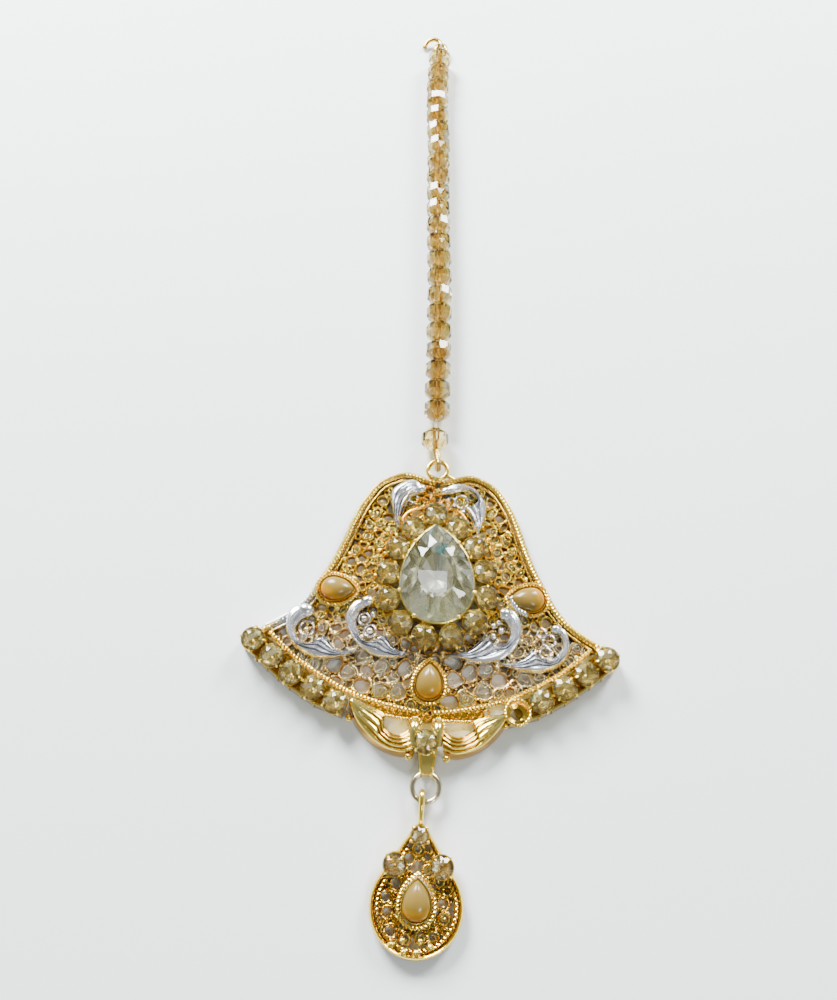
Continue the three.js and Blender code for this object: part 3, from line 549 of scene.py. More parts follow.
# A smoother and lighter copy of the gold, with painted light: brighter body and crests, and a height ramp
# spread wider, for the edge walls and posts, the drop's rim and the bail
goldBright = goldFinish("polished_gold_painted_lighter", goldLook, lowAt=0.0001, highAt=0.0024, rough=0.13, grain=1800,
                        body=(0.78, 0.50, 0.05), crest=(1.0, 0.79, 0.18))
goldRope = goldFinish("twisted_gold_wire", goldLook, worn=True, lowAt=0.0009, highAt=0.0019, rough=0.18)
goldOrange = goldFinish("orange_gold_bezel", goldLook, recess=(0.34, 0.12, 0.01), body=(0.66, 0.33, 0.03),
                        crest=(0.95, 0.60, 0.10), lowAt=0.0008, highAt=0.0025)
goldPale = goldFinish("pale_gold", goldLook, recess=(0.30, 0.17, 0.02), body=(0.60, 0.40, 0.07),
                      crest=(0.86, 0.62, 0.18), lowAt=0.0, highAt=0.0026, rough=0.2)
goldLeaf = leafGoldFinish()
silver = silverFinish("silver_leaf", (0.20, 0.22, 0.26), (0.90, 0.92, 0.96), 0.0012, 0.0022)
silverWire = silverFinish("silver_wire", (0.24, 0.18, 0.13), (0.84, 0.80, 0.76), 0.0008, 0.0019)
ringSteel = silverFinish("jump_ring_plate", (0.48, 0.40, 0.22), (0.86, 0.79, 0.56), 0.0006, 0.0016)
borderEdge = borderFinish()
openworkGold = openworkFinish()
crystalGlass = glassFinish("crystal_glass", (0.40, 0.39, 0.21), (0.96, 0.94, 0.75))
crystalFoil = foilFinish("crystal_foil", (0.40, 0.38, 0.22), (0.92, 0.90, 0.68), (1.0, 1.0, 0.95),
                         (0.40, 0.88, 1.0), flash=True)
champagneGlass = glassFinish("champagne_glass", (0.70, 0.58, 0.28), (1.0, 0.93, 0.62))
champagneFoil = foilFinish("champagne_foil", (0.46, 0.36, 0.11), (0.86, 0.70, 0.26), (1.0, 0.94, 0.58),
                           (1.0, 1.0, 0.90))
duskGlass = glassFinish("dusk_glass", (0.52, 0.40, 0.34), (0.88, 0.74, 0.60))
opal = opalFinish()
print("finishes made")


# Plaque outline: shares of the span to each side, of the rise above the origin and the skirt below it
plaque = {
    "span": 23.4, "rise": 17.9, "skirt": 22.6,
    "upper": [(0, 0.939), (0.068, 0.956), (0.128, 0.983), (0.2, 1), (0.286, 0.966), (0.374, 0.888),
              (0.453, 0.737), (0.509, 0.57), (0.553, 0.402), (0.607, 0.223), (0.671, 0.061), (0.735, -0.071),
              (0.82, -0.164), (0.915, -0.23), (0.966, -0.261)],
    "stones": [(1, -0.363), (0.889, -0.449), (0.771, -0.542), (0.641, -0.622), (0.502, -0.699),
               (0.38, -0.752)],
    "innerRope": [(21.5, -6.9), (20, -8.2), (18, -9.9), (16.5, -10.9), (14.5, -12.1), (12, -13.4),
                  (10.2, -14.2), (8, -14.9), (5.2, -15.6), (2.4, -16.1), (0.9, -16.25)],
}


# Shares made millimetres: x times the span, y times the rise above the origin or the skirt below it
def spots(rows):
    rows = np.asarray(rows, float)
    return rows * np.column_stack([np.full(len(rows), plaque["span"]),
                                   np.where(rows[:, 1] > 0, plaque["rise"], plaque["skirt"])])


upperEdge = evenLine(spots(plaque["upper"]), step=0.4)
stoneRow = evenLine(spots(plaque["stones"]), step=0.4)
groundEdge = np.vstack([beside(upperEdge, -1.5)[3:-3], evenLine(plaque["innerRope"], step=0.4)])
ground = np.vstack([groundEdge, mirrored(groundEdge)[::-1]])

# Border: plate edge, twisted wire and a plain inner wire, on both upper sides
border = {"ropeIn": 0.64, "ropeRadius": 0.43, "ropeLay": 1.02, "ropeHigh": 1.5,
          "wireIn": 1.36, "wireRadius": 0.14, "wireHigh": 1.4, "end": (23.0, -6.7)}
edgeProfile = [(0.0, 0.0), (0.0, 1.05), (0.12, 1.2), (1.35, 1.2), (1.5, 1.05), (1.5, 0.0)]
borderRun = evenLine(np.vstack([upperEdge, border["end"]]), step=0.4)
rail = wall(borderRun, np.array(edgeProfile) * [-1, 1])
makePiece("plaque_border_plate", [layer(rail), layer((mirrored(rail[0]), rail[1]))], [borderEdge],
          "gold_metal", ["plaque"])
ropes = []
for side in (1, -1):
    turn = np.array([side, 1])
    ropes.append(rope(beside(borderRun, -border["ropeIn"])[1:] * turn, border["ropeRadius"],
                      border["ropeLay"], border["ropeHigh"]))
    ropes.append(wire(beside(borderRun, -border["wireIn"])[3:] * turn, border["wireRadius"],
                      border["wireHigh"]))
    ropes.append(wire(beside(borderRun, -0.2)[1:] * turn, 0.13, 1.22))
    ropes.append(rope(evenLine(plaque["innerRope"], step=0.4) * turn, 0.34, 1.0, 1.55))
goldPiece("plaque_border_ropes", ropes, goldRope)
print("border made")

# Openwork ground: rings of mixed size packed side by side, then little curls and grains inside some of them
openwork = {"sizes": [0.78, 0.68, 0.58, 0.5, 0.42, 0.34, 0.25], "tries": 2600, "lap": 0.12, "wire": 0.12,
            "low": 0.02, "high": 1.3}
scrolls = {"sizes": [0.66, 0.52], "tries": 520, "apart": 0.55, "high": 1.38}
openBand = {"sizes": [1.15, 0.92, 0.74, 0.58, 0.44, 0.3], "tries": 1500, "lap": 0.15, "wire": 0.12}
cluster = {"turn": 3.7, "shift": 0.6, "halfWidth": 5.05, "length": 14.0, "halo": 1.72}
clusterLine = turned(pearLine(cluster["halfWidth"], cluster["length"], cluster["halo"]), cluster["turn"],
                     cluster["shift"])
cabochon = {"halfWidth": 1.7, "length": 4.7, "base": 1.55, "dome": 1.3, "rim": 0.3}
cabochonPlaces = {"left": (-13.6, -0.5, -90), "right": (13.6, -0.5, 90), "bottom": (0.2, -13.0, 0)}


# Cabochon outline: its pear line grown by the offset, turned and put in its place
def cabochonLine(offset, turn=0, x=0, y=0, count=60):
    return turned(pearLine(cabochon["halfWidth"], cabochon["length"], offset, count), turn, x, y)


# Ring whose crest is beaded: every other corner of the crest lies lower
def ringTemplate(wireHalf, low, high, segments=20):
    profile = [(1 - wireHalf, low), (1 - wireHalf, high - 0.2), (1, high), (1 + wireHalf, high - 0.2),
               (1 + wireHalf, low)]
    points, faces = turnedRing(0, 0, profile, segments)
    points[2::10, 2] -= 0.2
    return points, faces


# Random packing: each try is kept where it touches no ring already there and stays inside the ground
def packedRings(region, avoid, sizes, tries, lap, seed):
    dice = np.random.default_rng(seed)
    low, high = region[:, :2].min(0), region[:, :2].max(0)
    centres, radii = np.empty((0, 2)), np.empty(0)
    for radius in sizes:
        spots = dice.uniform(low, high, (tries, 2))
        spots = spots[inside(region, spots)]
        spots = spots[distanceTo(region, spots) > radius * 0.75]
        for line, reach in avoid:
            clear = (distanceTo(line, spots) > reach + radius * 0.6) & ~inside(line, spots)
            spots = spots[clear]
        for spot in spots:
            gap = np.hypot(*(centres - spot).T) - radii if len(radii) else np.array([9.0])
            if gap.min() > radius - lap:
                centres, radii = np.vstack([centres, spot]), np.append(radii, radius)
    return centres, radii


# A field of rings: for each size, one ring copied to its centres at random turns
def ringField(centres, radii, half, low, high):
    shapes = []
    for radius in np.unique(radii):
        chosen = centres[radii == radius]
        shape = ringTemplate(half / radius, low, high, 20 if radius > 0.45 else 12)
        sizes = np.column_stack([np.full((len(chosen), 2), radius), np.ones(len(chosen))])
        shapes.append(copies(shape, lifted(chosen, 0), chance.uniform(0, 6, len(chosen)), sizes))
    return merged(shapes)


# Curl: a wire that winds in from the ring, its distance from the middle falling evenly with its turn
def curlTemplate(turns=1.3, points=16):
    share = np.linspace(0, 1, points)
    angle = 2 * np.pi * turns * share
    radius = 1.0 - 0.72 * share
    path = lifted(rays(angle, radius[:, None]), 0.0)
    return sweep(path, roundProfile(0.13, 4), size=np.linspace(1.15, 0.9, points))


grain = ballShape(2)
curl = curlTemplate()

# Leaves: the outer and the inner contour of each, from its head to its tip, in millimetres
silverLeaves = {
    "topLeft": {
        "outer": [(-2.1, 14.9), (-2.9, 16.4), (-4.1, 16.6), (-5.5, 15.9), (-6.5, 15.0), (-6.8, 13.7),
                  (-6.5, 12.3), (-6.2, 11.0), (-5.9, 9.8), (-5.4, 8.5)],
        "inner": [(-2.0, 14.3), (-3.0, 14.2), (-3.9, 13.7), (-4.1, 13.0), (-4.5, 12.1), (-4.8, 11.2),
                  (-5.1, 10.1), (-5.3, 8.4)],
        "ribs": 4,
    },
    "topRight": {
        "outer": [(0.3, 14.6), (1.1, 15.6), (2.5, 16.2), (3.8, 16.1), (5.2, 15.5), (6.3, 14.5), (7.0, 13.4),
                  (7.1, 12.0), (6.8, 10.5), (6.3, 9.2), (5.9, 8.2)],
        "inner": [(0.5, 14.2), (1.9, 14.5), (3.5, 15.0), (5.0, 14.7), (5.8, 13.8), (5.6, 12.8), (4.8, 12.4),
                  (3.4, 12.2), (4.3, 11.5), (5.1, 10.6), (5.5, 9.4), (5.8, 8.1)],
        "ribs": 3,
    },
    "outerLeft": {
        "outer": [(-17.2, -2.8), (-18.8, -3.2), (-19.5, -4.5), (-19.4, -6.5), (-18.7, -8.0), (-17.4, -9.2),
                  (-15.7, -10.0), (-13.7, -10.2), (-11.9, -9.9), (-10.5, -9.4), (-8.8, -8.6)],
        "inner": [(-16.1, -4.2), (-17.3, -4.9), (-18.0, -5.9), (-17.9, -7.0), (-17.2, -8.0), (-16.1, -8.4),
                  (-15.0, -7.7), (-14.1, -7.0), (-12.9, -8.3), (-12.0, -8.9), (-10.7, -8.9), (-8.9, -8.4)],
        "ribs": 4,
    },
    "innerLeft": {
        "outer": [(-8.5, -1.3), (-10.5, -1.9), (-11.5, -3.3), (-11.6, -4.8), (-10.9, -6.3), (-10.0, -7.6),
                  (-8.7, -8.7), (-7.2, -9.4), (-5.0, -9.6), (-3.6, -9.4), (-2.4, -8.8)],
        "inner": [(-8.1, -2.3), (-9.4, -3.2), (-10.0, -4.4), (-9.7, -5.9), (-8.9, -7.2), (-7.8, -7.8),
                  (-6.9, -7.0), (-6.0, -6.3), (-5.2, -7.6), (-4.1, -8.4), (-2.5, -8.6)],
        "ribs": 4,
    },
    "innerRight": {
        "outer": [(9.0, -2.4), (10.0, -1.8), (11.4, -2.0), (12.3, -3.6), (12.4, -5.1), (11.9, -6.5),
                  (11.0, -7.8), (9.6, -8.9), (7.8, -9.5), (5.9, -9.6), (4.1, -9.1), (2.9, -8.7)],
        "inner": [(9.3, -3.2), (10.2, -4.0), (10.6, -5.1), (10.3, -6.5), (9.2, -7.5), (8.0, -7.8),
                  (7.4, -6.8), (7.3, -5.4), (6.5, -6.6), (5.3, -7.8), (4.1, -8.3), (2.9, -8.5)],
        "ribs": 4,
    },
    "outerRight": {
        "outer": [(16.3, -3.9), (17.9, -4.2), (18.6, -5.6), (18.7, -7.2), (17.9, -8.8), (16.4, -9.9),
                  (14.7, -10.4), (12.8, -10.4), (11.0, -10.1), (9.7, -9.6)],
        "inner": [(16.3, -4.5), (17.3, -5.1), (17.6, -6.5), (17.1, -7.7), (16.1, -8.5), (14.9, -8.9),
                  (14.2, -8.2), (13.6, -7.2), (12.8, -8.2), (11.5, -9.1), (9.8, -9.4)],
        "ribs": 4,
    },
}
leafForm = {"rows": 64, "columns": 29, "root": 0.55, "shoulder": 1.5, "crown": 1.0, "rib": 0.42,
            "smooth": 0.24, "edgeTone": 1.0}


# Leaf: between its two contours, shoulder + crown * sin(pi s)^0.55, with steep sides. Cosine ribs start
# inside a smooth rim and deepen along the leaf
def leafShape(outer, inner, ribs, form, foot=None, drop=None):
    n, m = form["rows"], form["columns"]
    a, b = evenLine(outer, count=n), evenLine(inner, count=n)
    s = np.linspace(0, 1, m)[None]
    width = np.linalg.norm(a - b, axis=1)[:, None]
    fade = np.clip(width / 0.9, 0.12, 1.0)
    ends = np.sin(np.pi * np.clip(np.linspace(0.04, 1.0, n)[:, None], 0, 0.5)) ** 0.4
    z = form["shoulder"] + form["crown"] * np.sin(np.pi * s) ** 0.55 * fade * ends
    along = np.clip((np.linspace(0, 1, n)[:, None] - 0.08) / 0.4, 0.1, 1)
    ribbed = np.clip((s - form["smooth"]) / (1 - form["smooth"]), 0, 1)
    groove = (1 - np.cos(2 * np.pi * ribs * ribbed)) * 0.5 * along
    z = z - form["rib"] * np.clip(width / 1.6, 0.25, 1.0) * groove * ends
    grid = a[:, None] * (1 - s[..., None]) + b[:, None] * s[..., None]
    top = np.dstack([grid, z])
    footLine = a if foot is None else evenLine(foot, count=n)
    footHigh = form["root"] if drop is None else drop
    rim = [lifted(b, form["root"]), lifted(footLine, footHigh), lifted(footLine, footHigh + 0.02)]
    full = np.concatenate([top, np.stack(rim, 1)], 1)
    columns = full.shape[1]
    ends = [endFaces(columns, 0, True), endFaces(columns, (n - 1) * columns, False)]
    faces = np.vstack([gridFaces(n, columns), *ends])
    # Tone for painted shade: low in the grooves between the ribs and on the side walls, scaled at the outer
    # edge by edgeTone
    tone = np.full(full.shape[:2], 0.15)
    tone[:, :m] = 1.0 - groove
    tone[:, :2] *= form["edgeTone"]
    return full.reshape(-1, 3), faces, tone.reshape(-1)


leafLayers, leafTones = [], []
for leaf in silverLeaves.values():
    points, faces, tone = leafShape(leaf["outer"], leaf["inner"], leaf["ribs"], leafForm)
    leafLayers.append((points, faces))
    leafTones.append(tone)
dome = ballShape(5)
heads = np.array([(-16.9, -3.7, 1.75), (-8.7, -2.0, 1.85), (9.9, -2.7, 1.8), (1.2, 14.9, 1.7),
                  (16.8, -4.4, 1.7), (-2.4, 15.0, 1.75)])
headSizes = np.array([(1.15, 0.95, 0.95), (1.0, 0.8, 0.9), (1.0, 0.85, 0.9), (0.95, 0.6, 0.8),
                      (0.75, 0.6, 0.8), (0.8, 0.7, 0.8)])
headTurns = np.radians([-10, 15, -25, 30, -20, 40])
leafLayers.append(copies(dome, heads, headTurns, headSizes))
leafTones.append(np.full(len(leafLayers[-1][0]), 0.8))
x, y, turn = cabochonPlaces["right"]
tiePath = [(x - 3.0, y + 0.2), (x - 2.5, y - 0.8), (x - 1.7, y - 1.7), (x - 0.7, y - 2.2)]
tie = rope(tiePath, 0.36, 0.95, 2.05)
leafLayers.append(tie)  # silver over the rope of the right bezel, where the leaf's head meets it
# Tone by height: painted shade on the lower parts of the rope
leafTones.append(np.clip((tie[0][:, 2] - 1.6) / 0.8, 0.2, 1.0))
makePiece("plaque_silver_leaves", [layer(merged(leafLayers))], [silver], "silver_metal", ["plaque"],
          sharp=70, tone=np.concatenate(leafTones))
print("silver leaves made")

# Gold leaves at the foot, with a sloping outer wall, an open window and an upturned end
goldLeaves = {
    "left": {
        "outer": [(-10.0, -15.6), (-9.0, -17.7), (-7.7, -19.2), (-6.1, -20.5), (-4.3, -21.3), (-2.5, -21.5),
                  (-1.1, -21.0)],
        "inner": [(-9.7, -15.0), (-7.6, -15.8), (-6.0, -16.4), (-5.2, -17.1), (-5.3, -18.1), (-4.5, -19.0),
                  (-3.4, -19.3), (-2.4, -18.9), (-1.7, -18.2)],
        "foot": [(-10.2, -16.2), (-9.3, -18.1), (-8.0, -19.6), (-6.4, -20.8), (-4.6, -21.6), (-2.9, -21.9),
                 (-1.4, -21.7)],
    },
    "right": {
        "outer": [(10.5, -16.5), (9.6, -17.9), (8.5, -19.2), (7.1, -20.4), (5.5, -21.1), (3.9, -21.4),
                  (2.4, -21.0)],
        "inner": [(10.2, -15.9), (8.6, -16.2), (6.9, -16.7), (6.1, -17.3), (6.2, -18.1), (5.3, -18.9),
                  (4.2, -19.2), (3.1, -18.9), (2.4, -18.2)],
        "foot": [(10.6, -16.9), (9.9, -18.2), (8.9, -19.4), (7.4, -20.6), (5.8, -21.4), (4.2, -21.8),
                 (2.8, -21.7)],
    },
}
goldForm = {"rows": 70, "columns": 33, "root": 0.3, "shoulder": 1.9, "crown": 0.75, "rib": 0.24,
            "smooth": 0.1, "edgeTone": 0.15}
shapes, leafTones = [], []
for leaf in goldLeaves.values():
    points, faces, tone = leafShape(leaf["outer"], leaf["inner"], 4, goldForm, leaf["foot"], 0.02)
    shapes.append((points, faces))
    leafTones.append(tone)
for x, y in ((-1.35, 0), (1.65, 0)):
    path = [(x - 0.1 * np.sign(x), -20.4, 1.9), (x, -19.5, 2.1), (x, -18.6, 2.15), (x, -17.9, 1.8),
            (x, -17.6, 1.2)]
    shapes.append(wire(path, 0.78, side=(1, 0, 0), step=0.25, sides=14))
tabPath = np.array([(-0.75, -18.2), (-0.6, -17.4), (0, -17.0), (0.6, -17.4), (0.75, -18.2)])
tabs = [rope(tabPath + [x, 0], 0.22, 0.8, 1.7) for x in (-1.3, 1.7)]
strip = evenLine([(-7.0, -15.7), (-4.8, -16.3), (-2.3, -16.75), (0.2, -16.95), (2.7, -16.75), (5.2, -16.4),
                  (7.4, -15.9)], step=0.4)
shapes.append(wall(strip, [(-0.55, 0.3), (-0.55, 0.95), (0.5, 0.95), (0.5, 0.3)]))
bars = [rope([(-5.2, -16.9), (-3.6, -17.15), (-2.0, -17.25)], 0.25, 0.9, 1.35),
        rope([(6.0, -17.1), (4.2, -17.2), (2.4, -17.25)], 0.25, 0.9, 1.35)]
stripRings = evenLine([(-7.4, -15.75), (-2.3, -16.6), (0.2, -16.75), (2.7, -16.6), (7.8, -15.9)], count=17)
bars.append(ringField(stripRings, np.full(17, 0.4), 0.13, 0.6, 1.35))
wires = merged(shapes[2:] + tabs + bars)
# Tone by height: painted shade low down on the wires
leafTones.append(np.clip(wires[0][:, 2] / 2.2, 0.15, 0.9))
goldPiece("plaque_gold_leaves", shapes[:2] + [wires], goldLeaf, sharp=70, tone=np.concatenate(leafTones))
print("gold leaves made")

# The open ground itself, with the leaves and the settings left out of it
avoid = [(clusterLine, -0.4)]
for x, y, turn in cabochonPlaces.values():
    avoid.append((cabochonLine(0.5, turn, x, y, 48), 0.0))
for leaf in silverLeaves.values():
    loop = np.vstack([evenLine(leaf["outer"], count=30), evenLine(leaf["inner"], count=30)[::-1]])
    avoid.append((loop, -0.15))
bandTop = [(21.5, -5.5), (18.5, -7.6), (13, -8.4), (6, -8.3), (0, -8.6)]
bandTop = np.vstack([bandTop, mirrored(bandTop)[::-1][1:]])
bandLine = evenLine(np.vstack([plaque["innerRope"], mirrored(plaque["innerRope"])[::-1]]), step=0.4)
band = np.vstack([evenLine(bandTop, step=0.4), bandLine[::-1]])
centres, radii = packedRings(band, avoid, openBand["sizes"], openBand["tries"], openBand["lap"], 7)
field = [ringField(centres, radii, openBand["wire"], openwork["low"], openwork["high"])]
bandCentres, bandRadii = centres, radii
centres, radii = packedRings(ground, avoid + [(band, 0.0)], openwork["sizes"], openwork["tries"],
                             openwork["lap"], 5)
field.append(ringField(centres, radii, openwork["wire"], openwork["low"], openwork["high"]))
centres, radii = np.vstack([centres, bandCentres]), np.append(radii, bandRadii)
wide = np.flatnonzero(radii > 0.55)
picked = wide[::2]
field.append(copies(curl, lifted(centres[picked], chance.uniform(1.05, 1.3, len(picked))),
                    chance.uniform(0, 6.3, len(picked)), radii[picked] * 0.94))
# grains in the gaps, and loose scrolls laid over the joints of the rings
picked = np.flatnonzero(radii < 0.36)[::2]
field.append(copies(grain, lifted(centres[picked], 1.2), 0.0, 0.33))
centres, reach = packedRings(ground, avoid, scrolls["sizes"], scrolls["tries"], -scrolls["apart"], 9)
field.append(copies(curl, lifted(centres, scrolls["high"]), chance.uniform(0, 6.3, len(reach)), reach))
points, faces = merged(field)
x, y = points[:, 0], points[:, 1]
points[:, 0] += 0.15 * np.sin(2.4 * y + 2 * np.sin(0.9 * x))
points[:, 1] += 0.15 * np.sin(2.2 * x + 2 * np.sin(1.1 * y))
goldPiece("plaque_openwork", [(points, faces)], openworkGold)
print("openwork made", len(radii), "rings")

# Gold wires round the crystal's tip: three twisted rings and an arc beside each top leaf
tipRings = [(-2.17, 12.93, 0.8), (-1.14, 14.86, 0.7), (-0.22, 13.7, 0.75), (1.2, 13.0, 0.6)]
tipArcs = [[(-2.1, 12.2), (-3.8, 11.5), (-4.8, 10.1), (-4.6, 8.3)],
           [(1.9, 12.3), (2.8, 12.0), (3.8, 11.2), (4.5, 9.9)]]
tipShapes = [rope(circle(*ring, 14), 0.2, 0.66, 1.6, closed=True, steps=8) for ring in tipRings]
tipShapes += [wire(arc, 0.22, 1.75, step=0.2) for arc in tipArcs]
goldPiece("plaque_tip_wires", tipShapes, goldOrange)

# Silver scrolls and grains inside the leaves' curls
leafGrains = np.array([(-9.0, -4.4, 1.6), (-8.1, -6.0, 1.6), (-7.8, -3.7, 1.55), (8.4, -4.4, 1.6),
                       (9.5, -5.0, 1.6), (8.4, -5.8, 1.6), (9.1, -3.9, 1.5)])
leafRings = [(-16.6, -6.1, 0.95), (-9.0, -4.4, 0.78), (-8.1, -6.0, 0.8), (15.9, -6.0, 0.8),
             (15.4, -7.6, 0.75), (3.4, 13.5, 0.95), (2.0, 13.4, 0.6), (-3.4, 13.6, 0.6), (14.9, -5.0, 0.6)]
small = [copies(ballShape(3), leafGrains, 0.0, 0.46)]
small += [rope(circle(*ring, 14), 0.13, 0.5, 1.5, closed=True, sides=4, steps=7) for ring in leafRings]
small = merged(small)
# Tone by height: painted shade on the lower parts of the grains and rings
makePiece("plaque_silver_grains", [layer(small)], [silverWire], "silver_metal", ["plaque"],
          tone=np.clip(small[0][:, 2] / 1.9, 0, 1))


# Settings

# Cup: a thin ring wall that widens upwards, with small claws bent over the stone's edge
def cupShapes(x, y, radius, low, girdle, claws=4, turn=0.0, wallThick=0.12):
    outer = radius + wallThick
    profile = [(radius - 0.5, low), (outer - 0.35, low), (outer, girdle - 0.35),
               (outer - 0.03, girdle - 0.12), (radius + 0.02, girdle - 0.14), (radius - 0.35, low + 0.4)]
    shapes = [turnedRing(x, y, profile, 24)]
    reach = np.array([outer, outer + 0.03, radius + 0.05, radius - 0.24])
    high = np.array([girdle - 0.8, girdle - 0.1, girdle + 0.22, girdle + 0.38])
    for k in range(claws):
        a = turn + 2 * np.pi * k / claws
        path = np.column_stack([x + reach * np.cos(a), y + reach * np.sin(a), high])
        side = (-math.sin(a), math.cos(a), 0)
        shapes.append(sweep(evenLine(path, count=7), roundProfile(0.15, 6), side=side,
                            size=[0.9, 1, 1.1, 1.15, 1.1, 0.95, 0.6]))
    return shapes


# Shares of the radius and of the heights above and below the girdle; the belt is in millimetres
roundCut = {"middleOut": 0.75, "middleUp": 0.6, "belt": 0.1, "mainsOut": 0.5, "mainsDown": 0.52}
pearCut = {"middleOut": 0.8, "middleUp": 0.62, "belt": 0.14, "mainsOut": 0.45, "mainsDown": 0.6,
           "heart": 0.16}


# Round stone: eight-sided table, kites and girdle facets above, sixteen long facets to a point below
def roundStone(x, y, radius, low, girdle, high, turn=0.0, table=0.44):
    a = turn + np.pi / 4 * np.arange(8)
    around = turn + np.pi / 8 * np.arange(16)
    top = lifted(rays(a, table * radius), high)
    a = a + np.pi / 8
    middle = lifted(rays(a, roundCut["middleOut"] * radius), girdle + roundCut["middleUp"] * (high - girdle))
    edge = lifted(rays(around, radius), girdle)
    under = edge - [0, 0, roundCut["belt"]]
    girdle -= roundCut["belt"]
    mains = lifted(rays(a, roundCut["mainsOut"] * radius), girdle - roundCut["mainsDown"] * (girdle - low))
    points = np.vstack([top, middle, edge, under, mains, [(0, 0, low)]])
    return points + [x, y, 0], stoneFaces(8)


# Facets of a cut stone with n sides. Its rings of corners are table, crown, upper and lower girdle, then
# one half way down, and the point
def stoneFaces(n):
    i = np.arange(n)
    k = (i + 1) % n
    table, middle, edge = 0, n, 2 * n
    under, mains, point = 4 * n, 6 * n, 7 * n
    g = 2 * i
    after, second = (g + 1) % (2 * n), (g + 2) % (2 * n)
    crown = [(table + i, table + k, middle + i), (table + i, middle + i, edge + g),
             (table + i, edge + g, middle + (i - 1) % n), (middle + i, edge + after, edge + g),
             (middle + i, edge + second, edge + after)]
    below = [(under + g, under + after, mains + i), (under + after, under + second, mains + i),
             (under + g, mains + i, mains + (i - 1) % n), (mains + i, mains + k, np.full(n, point))]
    j = np.arange(2 * n)
    h = (j + 1) % (2 * n)
    belt = np.stack([edge + j, edge + h, under + h, under + j], 1)
    crown, below = (np.vstack([np.stack(row, 1) for row in part]) for part in (crown, below))
    return [(i[None], 0), (crown, 0), (belt, 1), (below, 1)]


# Cut stones as one piece, every facet flat
def makeStones(name, stones, materials, slotName, nodes):
    return makePiece(name, [(points, groups, False) for points, groups in stones], materials, slotName,
                     nodes)


# A round stone for each node, as wide and as high as the node's box
def roundGroup(name, nodes, materials):
    stones = []
    for node in nodes:
        middle, low, high = nodeMiddle(node)
        radius = (high[0] - low[0]) / 2
        girdle = low[2] + 0.6 * radius + 0.12
        stones.append(roundStone(middle[0], middle[1], radius * 1.06, low[2], girdle, high[2],
                                 chance.uniform(0, 6.3)))
    return makeStones(name, stones, materials, "champagne_glass", nodes)


haloNodes = sorted(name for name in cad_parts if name.startswith("halo_stone"))
edgeNodes = sorted(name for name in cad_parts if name.startswith("edge_stone"))
roundGroup("halo_stones_cut", haloNodes, [champagneGlass, champagneFoil])
roundGroup("edge_stones_cut", edgeNodes, [champagneGlass, champagneFoil])
roundGroup("bottom_stone_cut", ["bottom_stone"], [crystalGlass, champagneFoil])
roundGroup("drop_stones_cut", ["drop_stone_top", "drop_stone_left", "drop_stone_right"],
           [duskGlass, champagneFoil])

cups = []
haloCup = {"radius": 1.65, "low": 0.9, "girdle": 3.0}
for node in haloNodes:
    cups += cupShapes(*nodeMiddle(node)[0][:2], **haloCup, turn=chance.uniform(0, 1.5))
goldPiece("plaque_halo_cups", cups, gold)

# Edge cups stand on a low wall that follows the row; one of them has lost its stone
edgeRow = {"pitch": 3.48, "reach": 1.7, "postPitch": 1.74, "postRadius": 0.14}
edgeCup = {"radius": 1.55, "low": 0.3, "girdle": 2.75}
rowWalk = walkOf(stoneRow)
rowPlaces = pointsAt(stoneRow, rowWalk, np.minimum(np.arange(5) * edgeRow["pitch"], rowWalk[-1]))
cups = []
for side in (1, -1):
    for k, (x, y) in enumerate(rowPlaces):
        if side == 1 and k == 4:
            profile = [(0.8, 0.5), (1.6, 0.5), (1.72, 2.4), (1.5, 2.45), (1.35, 1.3), (0.8, 1.1)]
            cups.append(turnedRing(x, y, profile, 24))
            cups.append(rope(circle(x, y, 1.6, 16), 0.24, 0.9, 2.4, closed=True))
            continue
        cups += cupShapes(side * x, y, **edgeCup, turn=chance.uniform(0, 1.5))
wallProfile = np.array([(0.0, 0.0), (-0.05, 1.0), (-0.2, 1.9), (-0.42, 1.92), (-0.42, 0.0)])
endTurn = np.radians([85, 60, 30, 0, -30])
endLine = rowPlaces[0] + rays(endTurn, edgeRow["reach"])
wallLine = evenLine(np.vstack([endLine, beside(stoneRow, edgeRow["reach"])[4:-13], (10.9, -17.5)]), step=0.3)
postPlaces = evenLine(wallLine, step=edgeRow["postPitch"])[1:-1]
walls = []
for side in (1, -1):
    turn = np.array([side, 1])
    walls.append(wall(wallLine * turn, wallProfile * turn))
    floorLine = evenLine(rowPlaces * turn, step=0.5)
    cups.append(wall(floorLine, [(-1.4, 0.1), (-1.4, 0.6), (1.5, 0.6), (1.5, 0.1)]))
    for x, y in postPlaces * turn:
        post = [(x, y, 0.2), (x, y, 1.3), (x * 0.995, y * 0.99, 2.2)]
        walls.append(wire(post, edgeRow["postRadius"], side=(1, 0, 0), step=0.5, sides=6))
# The walls and posts take the lighter copy of the gold, which is painted light
makePiece("plaque_edge_cups", [layer(merged(cups)), layer(merged(walls), 1)], [gold, goldBright],
          "gold_metal", ["plaque"])
print("cups made")

# Pear crystal
crystalRise = {"low": 1.7, "girdle": 4.1, "high": 5.75}


